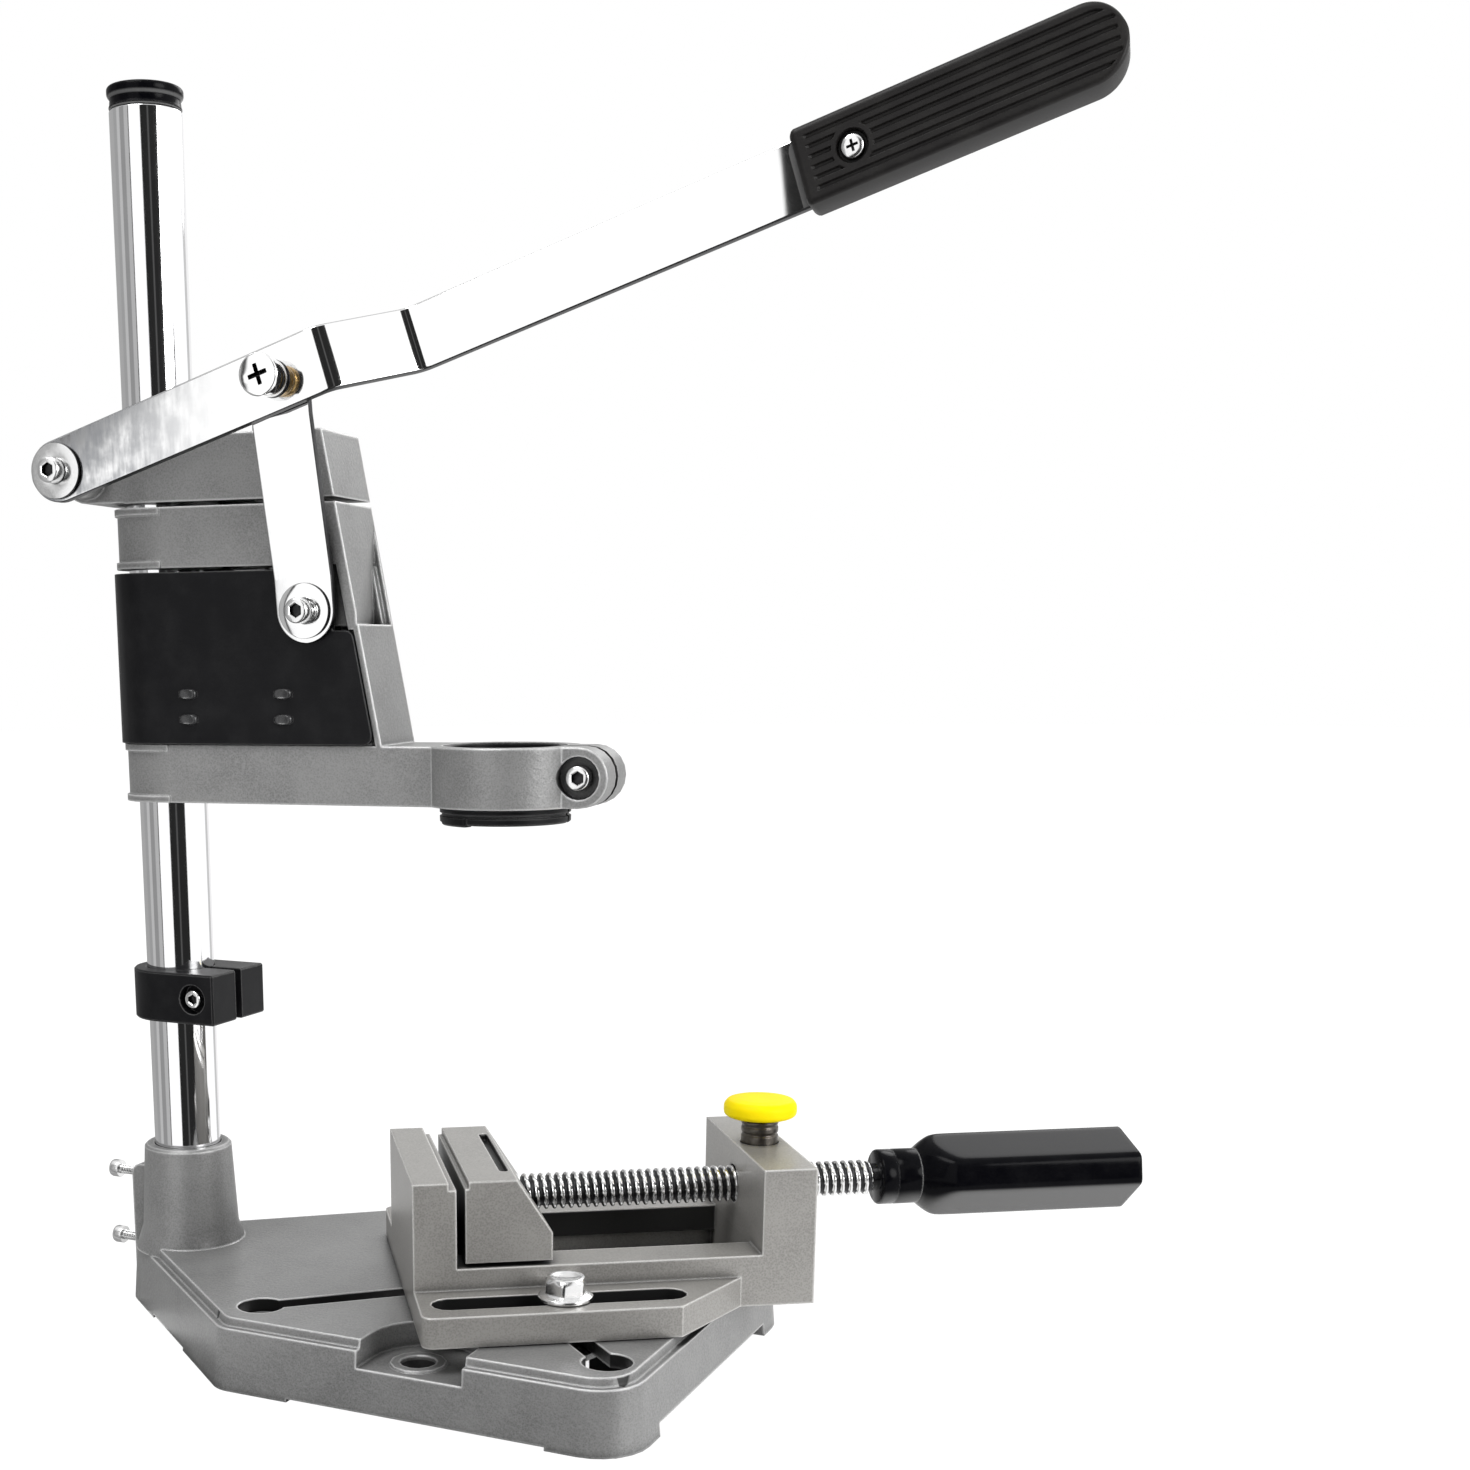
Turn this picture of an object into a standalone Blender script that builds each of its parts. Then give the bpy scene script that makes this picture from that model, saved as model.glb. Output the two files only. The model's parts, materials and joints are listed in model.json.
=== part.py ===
"""Column drill stand with a rack of two castings on a chrome column, a hand lever and a drill press vise.

Metres, +Z up. The origin is on the column's axis, in the plane that the base stands on.
+X runs along the base plate, towards the vise, and -Y is the lever's side.
The arm is swung a little about the column, so its pieces are modelled in the arm's own frame.
"""

from math import asin, atan2, ceil, cos, hypot, pi, radians, sin, sqrt, tan

import bmesh
import bpy
import numpy as np
from mathutils import Vector

mm = 0.001

# Fits, shared by every piece
gap = 0.3 * mm
sliding_gap = 0.3 * mm
overrun = 4.0 * mm
edge_break = 0.6 * mm
weld_distance = 0.002 * mm

# Column
column_diameter = 25.0 * mm
column_wall = 2.0 * mm
column_top = 425.0 * mm
cap_flange_overhang = 0.6 * mm
cap_flange_height = 2.4 * mm
cap_dome = 2.6 * mm
cap_neck = 3.6 * mm
cap_plug_depth = 14.0 * mm
arm_swivel = radians(7.8)

# Base casting
plate_width = 155.5 * mm
plate_front = 213.0 * mm
plate_height = 25.0 * mm
rim_drop = 3.0 * mm
rim_width = 2.4 * mm
side_flare = 1.8 * mm
front_corner = 16.0 * mm
neck_corner = 10.0 * mm
neck_end = 64.0 * mm
neck_back = 23.0 * mm
neck_tip_radius = 12.8 * mm
base_wall = 5.0 * mm
base_deck = 5.0 * mm
foot_height = 1.2 * mm
front_arch_height = 4.5 * mm
foot_length = 27.0 * mm
rib_width = 4.0 * mm
rib_drop = 9.0 * mm
slot_width = 8.7 * mm
keyhole_from_neck = 5.4 * mm
keyhole_from_front = 14.0 * mm
keyhole_from_side = 18.35 * mm
keyhole_diameter = 16.6 * mm
centre_hole = 24.0 * mm
notch_floor = 16.0 * mm
notch_beyond_centre = 2.8 * mm
notch_radius = 19.5 * mm
notch_reach = 31.0 * mm
notch_pad = 6.0 * mm
notch_wall = 4.0 * mm
mount_hole = 12.4 * mm
mount_hole_inset = 12.2 * mm
mount_boss = 19.0 * mm
mount_boss_rise = 0.8 * mm

# Socket that holds the column
socket_top = 63.0 * mm
socket_wall = 3.8 * mm
socket_foot_radius = 18.4 * mm
socket_fillet = 3.0 * mm
socket_chamfer = 1.0 * mm
socket_floor = 6.0 * mm
socket_rib_back = 23.0 * mm
socket_rib_width = 11.0 * mm
socket_rib_top = 53.0 * mm
socket_screw_low = 21.5 * mm
socket_screw_high = 48.5 * mm
socket_screw_diameter = 4.0 * mm
socket_screw_standoff = 9.0 * mm

# Stop collar on the column
stop_bottom = 112.5 * mm
stop_height = 18.7 * mm
stop_wall = 4.6 * mm
stop_reach = 25.5 * mm
stop_slit = 4.2 * mm
stop_screw_reach = 16.4 * mm
stop_screw_diameter = 4.0 * mm
stop_recess_diameter = 11.0 * mm
stop_recess_depth = 4.4 * mm

# Carriage and head share their width and the slope of their front
band_half_width = 16.6 * mm
band_back_radius = 15.9 * mm
casting_wall = 3.6 * mm
front_slope = 0.187
front_reach_at_bottom = 88.8 * mm
carriage_bottom = 193.0 * mm
band_height = 20.5 * mm
carriage_height = 101.9 * mm
front_wall = 4.0 * mm
lip_height = 2.4 * mm
lip_depth = 0.9 * mm
lip_reach = 7.0 * mm
shaft_clear = 4.6 * mm
recess_rise = 61.5 * mm
recess_depth = 6.3 * mm
recess_side_wall = 1.4 * mm
recess_edge = 0.6 * mm
recess_back_wall = 3.6 * mm
recess_pad_half = 8.0 * mm
link_web_back = 55.0 * mm
link_web_drop = 43.0 * mm
link_boss_radius = 8.0 * mm
cover_tab_width = 11.0 * mm
cover_tab_height = 12.0 * mm

# Ring for the drill's collar
drill_collar = 43.0 * mm
ring_fit = 0.4 * mm
ring_wall = 5.3 * mm
throat = 128.3 * mm
ring_slit = 3.0 * mm
lug_half_width = 12.6 * mm
lug_centre_beyond_ring = 2.7 * mm
clamp_bolt_diameter = 5.0 * mm
lug_recess_diameter = 14.6 * mm
lug_recess_depth = 3.6 * mm
sleeve_bore = 38.0 * mm
sleeve_fit = 0.2 * mm
sleeve_flange = 1.5 * mm
sleeve_flange_height = 6.0 * mm
sleeve_split = 2.0 * mm

# Cover between the two bands
cover_wall = 2.2 * mm
cover_half_width = 17.8 * mm
cover_top_gap = 1.5 * mm
cover_front_setback = 2.4 * mm
cover_corner = 3.0 * mm
cover_step_reach = 72.0 * mm
cover_step_drop = 20.5 * mm
clip_near_reach = 16.4 * mm
clip_far_reach = 53.0 * mm
clip_low_rise = 8.6 * mm
clip_high_rise = 17.4 * mm
clip_length = 7.0 * mm
clip_width = 1.8 * mm
clip_depth = 0.8 * mm
cover_screw_diameter = 3.0 * mm
cover_screw_back_reach = 15.0 * mm
cover_screw_top_drop = 6.6 * mm
cover_screw_bottom_drop = 52.0 * mm
cover_screw_step_reach = 48.0 * mm
cover_screw_step_drop = 14.4 * mm
cover_screw_front_reach = 72.0 * mm
cover_screw_front_drop = 41.0 * mm
band_screw_reach = 30.0 * mm
band_screw_drop = 10.0 * mm

# Head bracket
head_height = 22.0 * mm
head_gap = 1.6 * mm
head_deck = 5.0 * mm
ear_radius = 9.6 * mm
ear_slit = 3.0 * mm
pivot_back = 22.0 * mm
pivot_rise = 10.0 * mm
pivot_boss_radius = 8.0 * mm
pivot_boss_length = 12.8 * mm
rod_reach = 45.0 * mm
rod_diameter = 8.0 * mm
rod_boss_diameter = 16.0 * mm
rod_boss_height = 12.0 * mm
rod_stub = 1.4 * mm
rod_block_half = 9.6 * mm

# Hand lever, as distances from its pivot along the bar
lever_tilt = radians(17.7)
lever_width = 20.4 * mm
lever_thickness = 4.0 * mm
lever_near = 34.0 * mm
lever_offset = 24.0 * mm
lever_first_bend = 103.6 * mm
lever_second_bend = 127.9 * mm
lever_bend_inside = 6.5 * mm
lever_end = 346.0 * mm
tang_start = 263.0 * mm
tang_width = 15.0 * mm
crank = 85.5 * mm
grip_start = 261.1 * mm
grip_end = 358.4 * mm
grip_width = 22.8 * mm
grip_thickness = 19.0 * mm
grip_edge = 1.6 * mm
grip_screw_place = 278.0 * mm
grip_screw_diameter = 4.0 * mm
grip_recess_diameter = 9.6 * mm
grip_recess_depth = 2.6 * mm

# Link between lever and carriage
link_length = 73.6 * mm
link_tilt = radians(3.2)
link_width = 21.2 * mm
link_thickness = 3.0 * mm
link_joggle = 8.4 * mm
link_joggle_start = 11.0 * mm
link_joggle_end = 62.5 * mm
link_bend_inside = 3.0 * mm
link_slot_play = 0.6 * mm
link_screw_diameter = 6.0 * mm
link_screw_head_diameter = 13.6 * mm
link_screw_head_height = 4.2 * mm
link_collar_diameter = 10.4 * mm
link_collar_length = 5.4 * mm
link_collar_washer_diameter = 12.0 * mm
link_bolt_diameter = 5.0 * mm
link_bolt_standoff = 2.2 * mm

# Pivot of the lever
pivot_bolt_diameter = 5.0 * mm
pivot_sleeve_diameter = 10.0 * mm
big_washer_diameter = 18.4 * mm
washer_thickness = 1.2 * mm

# Return spring on the guide rod
spring_wire = 1.8 * mm
spring_mean_diameter = 15.4 * mm
spring_turns = 9
spring_points_per_turn = 8
spring_seat = 9.2 * mm
rod_nut_lift = 1.4 * mm

# Vise, as distances from the middle of the slots' cross; its own X runs from fixed jaw to handle
vise_angle = radians(34.0)
vise_back = 36.5 * mm
vise_width = 80.0 * mm
vise_length = 138.6 * mm
flange_width = 27.0 * mm
flange_thickness = 10.6 * mm
flange_before_block = 7.0 * mm
flange_corner = 4.0 * mm
flange_chamfer = 27.0 * mm
flange_slot_width = 12.0 * mm
flange_slot_inset = 13.5 * mm
flange_slot_start = 4.4 * mm
jaw_top = 73.3 * mm
jaw_plate_top = 70.8 * mm
fixed_jaw_thickness = 12.2 * mm
jaw_step = 2.6 * mm
jaw_opening = 3.0 * mm
rail_top = 43.4 * mm
rail_width = 16.0 * mm
rail_ledge = 5.0 * mm
rail_ledge_drop = 9.6 * mm
block_thickness = 18.6 * mm
movable_jaw_top_length = 16.5 * mm
movable_jaw_length = 28.5 * mm
movable_jaw_lift = 1.4 * mm
slope_foot = 54.5 * mm
movable_jaw_inset = 1.0 * mm
jaw_groove_half = 27.0 * mm
jaw_groove_width = 3.0 * mm
jaw_groove_depth = 2.5 * mm
jaw_groove_edge = 1.3 * mm
screw_recess = 8.0 * mm
keeper_thickness = 5.0 * mm
keeper_screw_diameter = 5.0 * mm
block_corner = 2.0 * mm

# Lead screw and handle
screw_height = 58.3 * mm
screw_diameter = 13.0 * mm
screw_pitch = 3.0 * mm
screw_thread_depth = 1.0 * mm
screw_points_per_turn = 10
screw_bore_clearance = 0.4 * mm
journal_diameter = 9.0 * mm
journal_length = 22.0 * mm
journal_groove_depth = 1.3 * mm
journal_groove_length = 4.0 * mm
journal_groove_place = 6.0 * mm
screw_pin_diameter = 2.6 * mm
thread_end = 170.7 * mm
shank_end = 186.0 * mm
shank_diameter = 10.0 * mm
handle_start = 172.8 * mm
handle_collar_diameter = 20.0 * mm
handle_collar_end = 190.0 * mm
handle_cone_start = 187.5 * mm
handle_cone_end = 197.5 * mm
handle_end = 266.6 * mm
handle_end_chamfer = 0.8 * mm
handle_height = 30.6 * mm
handle_width = 36.0 * mm
handle_side_face = 10.4 * mm
handle_turn = radians(-12.0)
handle_pin_diameter = 3.0 * mm

# Quick release on the rear block
release_bush_diameter = 13.2 * mm
release_bush_rise = 8.0 * mm
release_bush_depth = 7.2 * mm
release_bush_bore = 11.0 * mm
release_bush_roof = 1.6 * mm
release_pin_diameter = 6.0 * mm
release_pin_collar = 10.2 * mm
release_pin_collar_height = 1.6 * mm
release_knob_diameter = 26.0 * mm
release_knob_height = 7.8 * mm
release_knob_rim = 6.0 * mm
release_knob_foot = 13.4 * mm
release_spring_wire = 0.7 * mm
release_spring_turns = 4

# Hold-down bolts of the vise
vise_bolt_diameter = 8.0 * mm
vise_bolt_flange_diameter = 18.6 * mm
vise_bolt_flange_height = 2.0 * mm
vise_bolt_head_height = 7.6 * mm
vise_bolt_turn = radians(17)
vise_washer_diameter = 24.0 * mm
vise_washer_thickness = 2.0 * mm

# Standard fasteners as shares of the thread's diameter
socket_head_width_share = 1.7
socket_head_height_share = 1.0
hex_key_share = 0.8
hex_key_depth_share = 0.5
nut_flats_share = 1.72
nut_height_share = 0.8
pan_head_width_share = 1.85
flange_taper_share = 0.75
bolt_head_share = 0.93
cap_shoulder_share = 0.8
spring_end_share = 0.09
pan_head_height_share = 0.6
cross_width_share = 0.24
cross_length_share = 0.95
cross_depth_share = 0.35
head_edge_share = 0.12

# Facets of round pieces
big_steps = 36
ring_steps = 48
middle_steps = 20
small_steps = 12
arc_steps = 6
bend_steps = 3
soften_angle = radians(40)
shade_angle = radians(35)
fine_shade_angle = radians(25)
cover_soften_angle = radians(60)

# Sizes worked out from the values above
column_radius = column_diameter / 2
column_bore = column_radius + sliding_gap
plate_half = plate_width / 2
neck_run = neck_end + neck_back - neck_tip_radius
neck_half_angle = atan2(plate_half, neck_run) - asin(neck_tip_radius / hypot(neck_run, plate_half))
keyhole_back = neck_end + keyhole_from_neck
keyhole_front = plate_front - keyhole_from_front
slot_centre = (keyhole_back + keyhole_front) / 2
keyhole_along = (keyhole_front - keyhole_back) / 2
keyhole_across = plate_half - keyhole_from_side
notch_centre = slot_centre + notch_beyond_centre
socket_screw_heights = (socket_screw_low, socket_screw_high)
rim_level = plate_height - rim_drop
seat_level = plate_height + gap
lower_band_top = carriage_bottom + band_height
carriage_top = carriage_bottom + carriage_height
upper_band_bottom = carriage_top - band_height
head_bottom = carriage_top + head_gap
head_top = head_bottom + head_height
pivot_height = head_bottom + pivot_rise
lever_back_face = -(lever_near - lever_thickness)
link_front_face = lever_back_face + gap
link_back_face = link_front_face + link_thickness
link_foot_front = link_front_face + link_joggle
link_foot_back = link_back_face + link_joggle
crank_x = -pivot_back + crank * cos(lever_tilt)
crank_z = pivot_height + crank * sin(lever_tilt)
link_foot_x = crank_x + link_length * sin(link_tilt)
link_foot_z = crank_z - link_length * cos(link_tilt)
link_sweep = crank * (1 - cos(lever_tilt))
ring_bore = (drill_collar + ring_fit) / 2
ring_radius = ring_bore + ring_wall
lug_reach = throat + ring_radius + lug_centre_beyond_ring
lug_radius = band_height / 2
lug_height = carriage_bottom + lug_radius
vise_half = vise_width / 2
vise_floor = seat_level
flange_top = vise_floor + flange_thickness
flange_length = vise_length - block_thickness - flange_chamfer - flange_before_block
block_start = -vise_back + vise_length - block_thickness
block_end = -vise_back + vise_length
movable_face = -vise_back + fixed_jaw_thickness + jaw_step + jaw_opening
release_axis = block_start + block_thickness / 2
rod_bottom = carriage_bottom + gap
cover_bottom = lower_band_top + gap
cover_top = upper_band_bottom - cover_top_gap
clip_places = [(reach, rise) for reach in (clip_near_reach, clip_far_reach) for rise in (clip_low_rise,
        clip_high_rise)]
cover_screw_places = (
    (cover_screw_back_reach, cover_top - cover_screw_top_drop),
    (cover_screw_step_reach, cover_top - cover_screw_step_drop),
    (cover_screw_front_reach, cover_top - cover_screw_front_drop),
    (cover_screw_back_reach, cover_top - cover_screw_bottom_drop),
)
band_screw_place = (band_screw_reach, carriage_top - band_screw_drop)


def front_at(height):
    """Reach of the sloped front face at a height."""
    return front_reach_at_bottom - front_slope * (height - lower_band_top)


def material(name, colour, roughness, metallic):
    made = bpy.data.materials.new(name)
    made.use_nodes = True
    shader = made.node_tree.nodes["Principled BSDF"]
    shader.inputs["Base Color"].default_value = (*colour, 1.0)
    shader.inputs["Roughness"].default_value = roughness
    shader.inputs["Metallic"].default_value = metallic
    return made


def clear_scene():
    for thing in list(bpy.data.objects):
        bpy.data.objects.remove(thing, do_unlink=True)


def add_object(name, points, faces, look):
    """A closed mesh with its faces turned outwards."""
    mesh = bpy.data.meshes.new(name)
    mesh.from_pydata([tuple(p) for p in points], [], faces)
    work = bmesh.new()
    work.from_mesh(mesh)
    bmesh.ops.recalc_face_normals(work, faces=work.faces)
    work.to_mesh(mesh)
    work.free()
    mesh.materials.append(look)
    made = bpy.data.objects.new(name, mesh)
    bpy.context.scene.collection.objects.link(made)
    return made


def settle(thing):
    """Keeps the mesh that the modifiers make."""
    bpy.context.view_layer.update()
    graph = bpy.context.evaluated_depsgraph_get()
    mesh = bpy.data.meshes.new_from_object(thing.evaluated_get(graph))
    thing.modifiers.clear()
    work = bmesh.new()
    work.from_mesh(mesh)
    bmesh.ops.remove_doubles(work, verts=work.verts, dist=weld_distance)
    bmesh.ops.dissolve_degenerate(work, edges=work.edges, dist=weld_distance)
    bmesh.ops.recalc_face_normals(work, faces=work.faces)
    work.to_mesh(mesh)
    work.free()
    thing.data = mesh


def combine(target, tools, operation):
    for tool in tools:
        step = target.modifiers.new(operation.lower(), "BOOLEAN")
        step.operation = operation
        step.solver = "EXACT"
        step.object = tool
        settle(target)
        bpy.data.objects.remove(tool, do_unlink=True)
    return target


def cut(target, *tools):
    return combine(target, tools, "DIFFERENCE")


def fuse(target, *pieces):
    return combine(target, pieces, "UNION")


def keep_inside(target, *tools):
    return combine(target, tools, "INTERSECT")


def soften(thing, width, angle=soften_angle):
    """A narrow chamfer on the sharp edges."""
    step = thing.modifiers.new("edges", "BEVEL")
    step.width = width
    step.segments = 1
    step.limit_method = "ANGLE"
    step.angle_limit = angle
    settle(thing)
    return thing


def shade(thing, angle=shade_angle):
    thing.data.shade_smooth()
    thing.data.set_sharp_from_angle(angle=angle)
    return thing


def place(axis, a, b, h):
    """A point given in the plane across an axis, and along it."""
    if axis == "X":
        return (h, a, b)
    if axis == "Y":
        return (a, h, b)
    return (a, b, h)


def lofted(name, loops, look):
    """A closed body through loops of the same number of points."""
    count = len(loops[0])
    points = [p for loop in loops for p in loop]
    faces = [tuple(range(count)), tuple(range(len(points) - count, len(points)))]
    for level in range(len(loops) - 1):
        base = level * count
        for i in range(count):
            j = (i + 1) % count
            faces.append((base + i, base + j, base + count + j, base + count + i))
    return add_object(name, points, faces, look)


def prism(name, outline, low, high, look, axis="Z"):
    """An outline drawn across an axis and carried along it."""
    return lofted(name, [[place(axis, a, b, h) for a, b in outline] for h in (low, high)], look)


def slab(name, x_range, y_range, z_range, look):
    outline = rectangle(x_range, y_range)
    return prism(name, outline, z_range[0], z_range[1], look)


def rectangle(a_range, b_range):
    return [(a_range[0], b_range[0]), (a_range[1], b_range[0]), (a_range[1], b_range[1]),
            (a_range[0], b_range[1])]


def arc(centre, radius, start, end, steps=arc_steps):
    turns = [start + (end - start) * i / steps for i in range(steps + 1)]
    return [(centre[0] + radius * cos(t), centre[1] + radius * sin(t)) for t in turns]


def spin(vector, turn):
    return Vector((vector.x * cos(turn) - vector.y * sin(turn),
                   vector.x * sin(turn) + vector.y * cos(turn)))


def bend_arc(before, corner, after, radius, steps):
    """The arc that rounds a corner: its places, each with its heading."""
    into = (Vector(corner) - Vector(before)).normalized()
    out = (Vector(after) - Vector(corner)).normalized()
    bend = into.angle_signed(out)
    start = Vector(corner) - into * radius * tan(abs(bend) / 2)
    side = Vector((into.y, -into.x)) * (1 if bend > 0 else -1)
    turns = [-bend * i / steps for i in range(steps + 1)]
    return [(start + (side - spin(side, turn)) * radius, spin(into, turn)) for turn in turns]


def round_corner(outline, index, radius, steps=arc_steps):
    """The outline with one of its corners rounded."""
    before, corner, after = outline[index - 1], outline[index], outline[(index + 1) % len(outline)]
    rounding = [tuple(point) for point, heading in bend_arc(before, corner, after, radius, steps)]
    return outline[:index] + rounding + outline[index + 1:]


def bent_strip(corners, thickness, inside):
    """The outline of a flat bar bent round corners, from the corners of its middle line."""
    path = [(Vector(corners[0]), Vector(corners[1]) - Vector(corners[0]))]
    for before, corner, after in zip(corners, corners[1:], corners[2:]):
        path += bend_arc(before, corner, after, inside + thickness / 2, bend_steps)
    path.append((Vector(corners[-1]), Vector(corners[-1]) - Vector(corners[-2])))
    first, second = [], []
    for point, heading in path:
        across = Vector((-heading.y, heading.x)).normalized() * thickness / 2
        first.append(tuple(point + across))
        second.append(tuple(point - across))
    return first + second[::-1]


def hexagon(centre, flats, turn=0.0):
    corner = flats / sqrt(3)
    return [(centre[0] + corner * cos(turn + pi * i / 3),
             centre[1] + corner * sin(turn + pi * i / 3)) for i in range(6)]


def turned(name, profile, look, centre=(0, 0), axis="Z", steps=small_steps):
    """A profile of (radius, height) points, closed on itself or on the axis, turned about an axis."""
    points = []
    rings = []
    for radius, height in profile:
        if radius == 0:
            rings.append([len(points)] * steps)
            points.append(place(axis, centre[0], centre[1], height))
            continue
        rings.append(list(range(len(points), len(points) + steps)))
        for i in range(steps):
            turn = 2 * pi * i / steps
            points.append(place(axis, centre[0] + radius * cos(turn), centre[1] + radius * sin(turn),
                                height))
    open_profile = profile[0][0] == 0 and profile[-1][0] == 0
    faces = []
    for level in range(len(rings) - (1 if open_profile else 0)):
        lower, upper = rings[level], rings[(level + 1) % len(rings)]
        for i in range(steps):
            j = (i + 1) % steps
            corners = [lower[i], lower[j], upper[j], upper[i]]
            face = tuple(dict.fromkeys(corners))
            if len(face) > 2:
                faces.append(face)
    return shade(add_object(name, points, faces, look))


def rod(name, radius, low, high, look, centre=(0, 0), axis="Z", steps=small_steps):
    return turned(name, [(0, low), (radius, low), (radius, high), (0, high)], look, centre, axis, steps)


def tube(name, outer, inner, low, high, look, centre=(0, 0), axis="Z", steps=small_steps):
    profile = [(inner, low), (outer, low), (outer, high), (inner, high)]
    return turned(name, profile, look, centre, axis, steps)


def socket_screw(name, diameter, seat, tip, look, centre, axis, way):
    """A socket-head cap screw; way is the direction in which its head points."""
    head = diameter * socket_head_width_share / 2
    height = diameter * socket_head_height_share
    top = seat + way * height
    chamfer = diameter * head_edge_share
    profile = [(0, tip), (diameter / 2 - chamfer, tip), (diameter / 2, tip + way * chamfer),
               (diameter / 2, seat)]
    profile += [(head, seat), (head, top - way * chamfer), (head - chamfer, top), (0, top)]
    screw = turned(name, profile, look, centre, axis)
    key = hexagon(centre, diameter * hex_key_share)
    bottom = top - way * diameter * hex_key_depth_share
    return shade(cut(screw,
                     prism("key", key, min(bottom, top + way * overrun), max(bottom, top + way * overrun),
                           look, axis)))


def pan_screw(name, diameter, seat, tip, look, centre, axis, way, head_width=None, head_height=None):
    """A screw with a rounded head and a cross recess."""
    head = (head_width or diameter * pan_head_width_share) / 2
    height = head_height or diameter * pan_head_height_share
    top = seat + way * height
    chamfer = diameter * head_edge_share
    shoulder = height / 2
    profile = [(0, tip), (diameter / 2 - chamfer, tip), (diameter / 2, tip + way * chamfer),
               (diameter / 2, seat)]
    profile += [(head, seat), (head, seat + way * shoulder),
                (head - shoulder / 2, top - way * shoulder / 4), (head / 2, top), (0, top)]
    screw = turned(name, profile, look, centre, axis)
    half = head * cross_length_share / 2
    width = head * cross_width_share / 2
    low, high = sorted((top - way * head * cross_depth_share, top + way * overrun))
    first = rectangle((centre[0] - half, centre[0] + half), (centre[1] - width, centre[1] + width))
    second = rectangle((centre[0] - width, centre[0] + width), (centre[1] - half, centre[1] + half))
    return shade(cut(screw, prism("cross", first, low, high, look, axis),
                     prism("cross", second, low, high, look, axis)))


def nut(name, diameter, low, high, look, centre, axis, turn=0.0):
    """A hexagon nut with a bore that clears its bolt."""
    body = prism(name, hexagon(centre, diameter * nut_flats_share, turn), low, high, look, axis)
    bore = rod("bore", diameter / 2 + gap, low - overrun, high + overrun, look, centre, axis)
    return shade(cut(body, bore))


def washer(name, outer_diameter, bolt_diameter, low, high, look, centre, axis):
    return tube(name, outer_diameter / 2, bolt_diameter / 2 + gap, low, high, look, centre, axis)


def coil(name, mean_radius, wire_radius, low, high, turns, look, centre):
    """A compression spring as one unbroken wire, with its first and last turn drawn nearly closed."""
    count = turns * spring_points_per_turn
    rise = high - low - 2 * wire_radius
    shares = np.array([0.0, 1.0 / turns, 1.0 - 1.0 / turns, 1.0])
    closed = max(2 * (wire_radius + gap) / rise, spring_end_share)
    heights = np.array([0.0, closed, 1.0 - closed, 1.0])
    along = np.linspace(0.0, 1.0, count + 1)
    z = low + wire_radius + rise * np.interp(along, shares, heights)
    turn = 2 * pi * turns * along
    path = np.stack([centre[0] + mean_radius * np.cos(turn), centre[1] + mean_radius * np.sin(turn), z], 1)
    ahead = 2 * wire_radius * np.stack([-np.sin(turn), np.cos(turn), np.zeros(count + 1)], 1)
    path = np.concatenate([[path[0] - ahead[0]], path, [path[-1] + ahead[-1]]])
    least = np.inf
    for i in range(len(path)):
        away = path[i + spring_points_per_turn - 2:]
        if len(away):
            least = min(least, float(np.linalg.norm(away - path[i], axis=1).min()))
    print(f"{name}: least gap between its turns {1000 * (least - 2 * wire_radius):.2f} mm")
    curve = bpy.data.curves.new(name, "CURVE")
    curve.dimensions = "3D"
    curve.bevel_depth = wire_radius
    curve.bevel_resolution = 1
    curve.use_fill_caps = True
    spline = curve.splines.new("POLY")
    spline.points.add(len(path) - 1)
    for point, place_of in zip(spline.points, path):
        point.co = (*place_of, 1.0)
    made = bpy.data.objects.new(name, curve)
    made.data.materials.append(look)
    bpy.context.scene.collection.objects.link(made)
    return made


def joint_frame(name, parent=None, location=(0, 0, 0), turn=(0, 0, 0)):
    """An empty on a joint's axis, which carries the pieces that move with it."""
    frame = bpy.data.objects.new(name, None)
    frame.location = location
    frame.rotation_euler = turn
    frame.parent = parent
    bpy.context.scene.collection.objects.link(frame)
    return frame


def carry(frame, *pieces):
    for piece in pieces:
        piece.parent = frame


# Base casting
def base_outline(grow):
    """The plate with its rounded corners and its neck that narrows to a rounded tip behind the column."""
    half = plate_half + grow
    front = plate_front + grow
    lean = pi / 2 + neck_half_angle
    outline = arc((neck_tip_radius - neck_back, 0), neck_tip_radius + grow, lean, 2 * pi - lean,
                  2 * arc_steps)
    near_corner = neck_corner + grow
    setback = neck_corner * tan(neck_half_angle / 2)
    middle = (neck_end + setback, -half + near_corner)
    outline += arc(middle, near_corner, -lean, -pi / 2, arc_steps)
    corner = front_corner + grow
    outline += arc((front - corner, -half + corner), corner, -pi / 2, 0, arc_steps)
    outline += arc((front - corner, half - corner), corner, 0, pi / 2, arc_steps)
    outline += arc((middle[0], -middle[1]), near_corner, pi / 2, lean, arc_steps)
    return outline


def layer(outline, height):
    return [(a, b, height) for a, b in outline]


def slot_cutter(name, start, end, width, low, high, look):
    """A slot with round ends between two places."""
    lean = atan2(end[1] - start[1], end[0] - start[0])
    outline = arc(start, width / 2, lean + pi / 2, lean + 3 * pi / 2) + arc(end, width / 2, lean - pi / 2,
            lean + pi / 2)
    return prism(name, outline, low, high, look)


def notch_outline(radius, mouth, back):
    """A round-backed bay in the side of the plate, drawn for the side at -Y."""
    middle = back + radius
    return [(notch_centre - radius, mouth), (notch_centre + radius, mouth)] + arc((notch_centre, -middle),
            radius, 0, pi, 2 * arc_steps)


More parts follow.
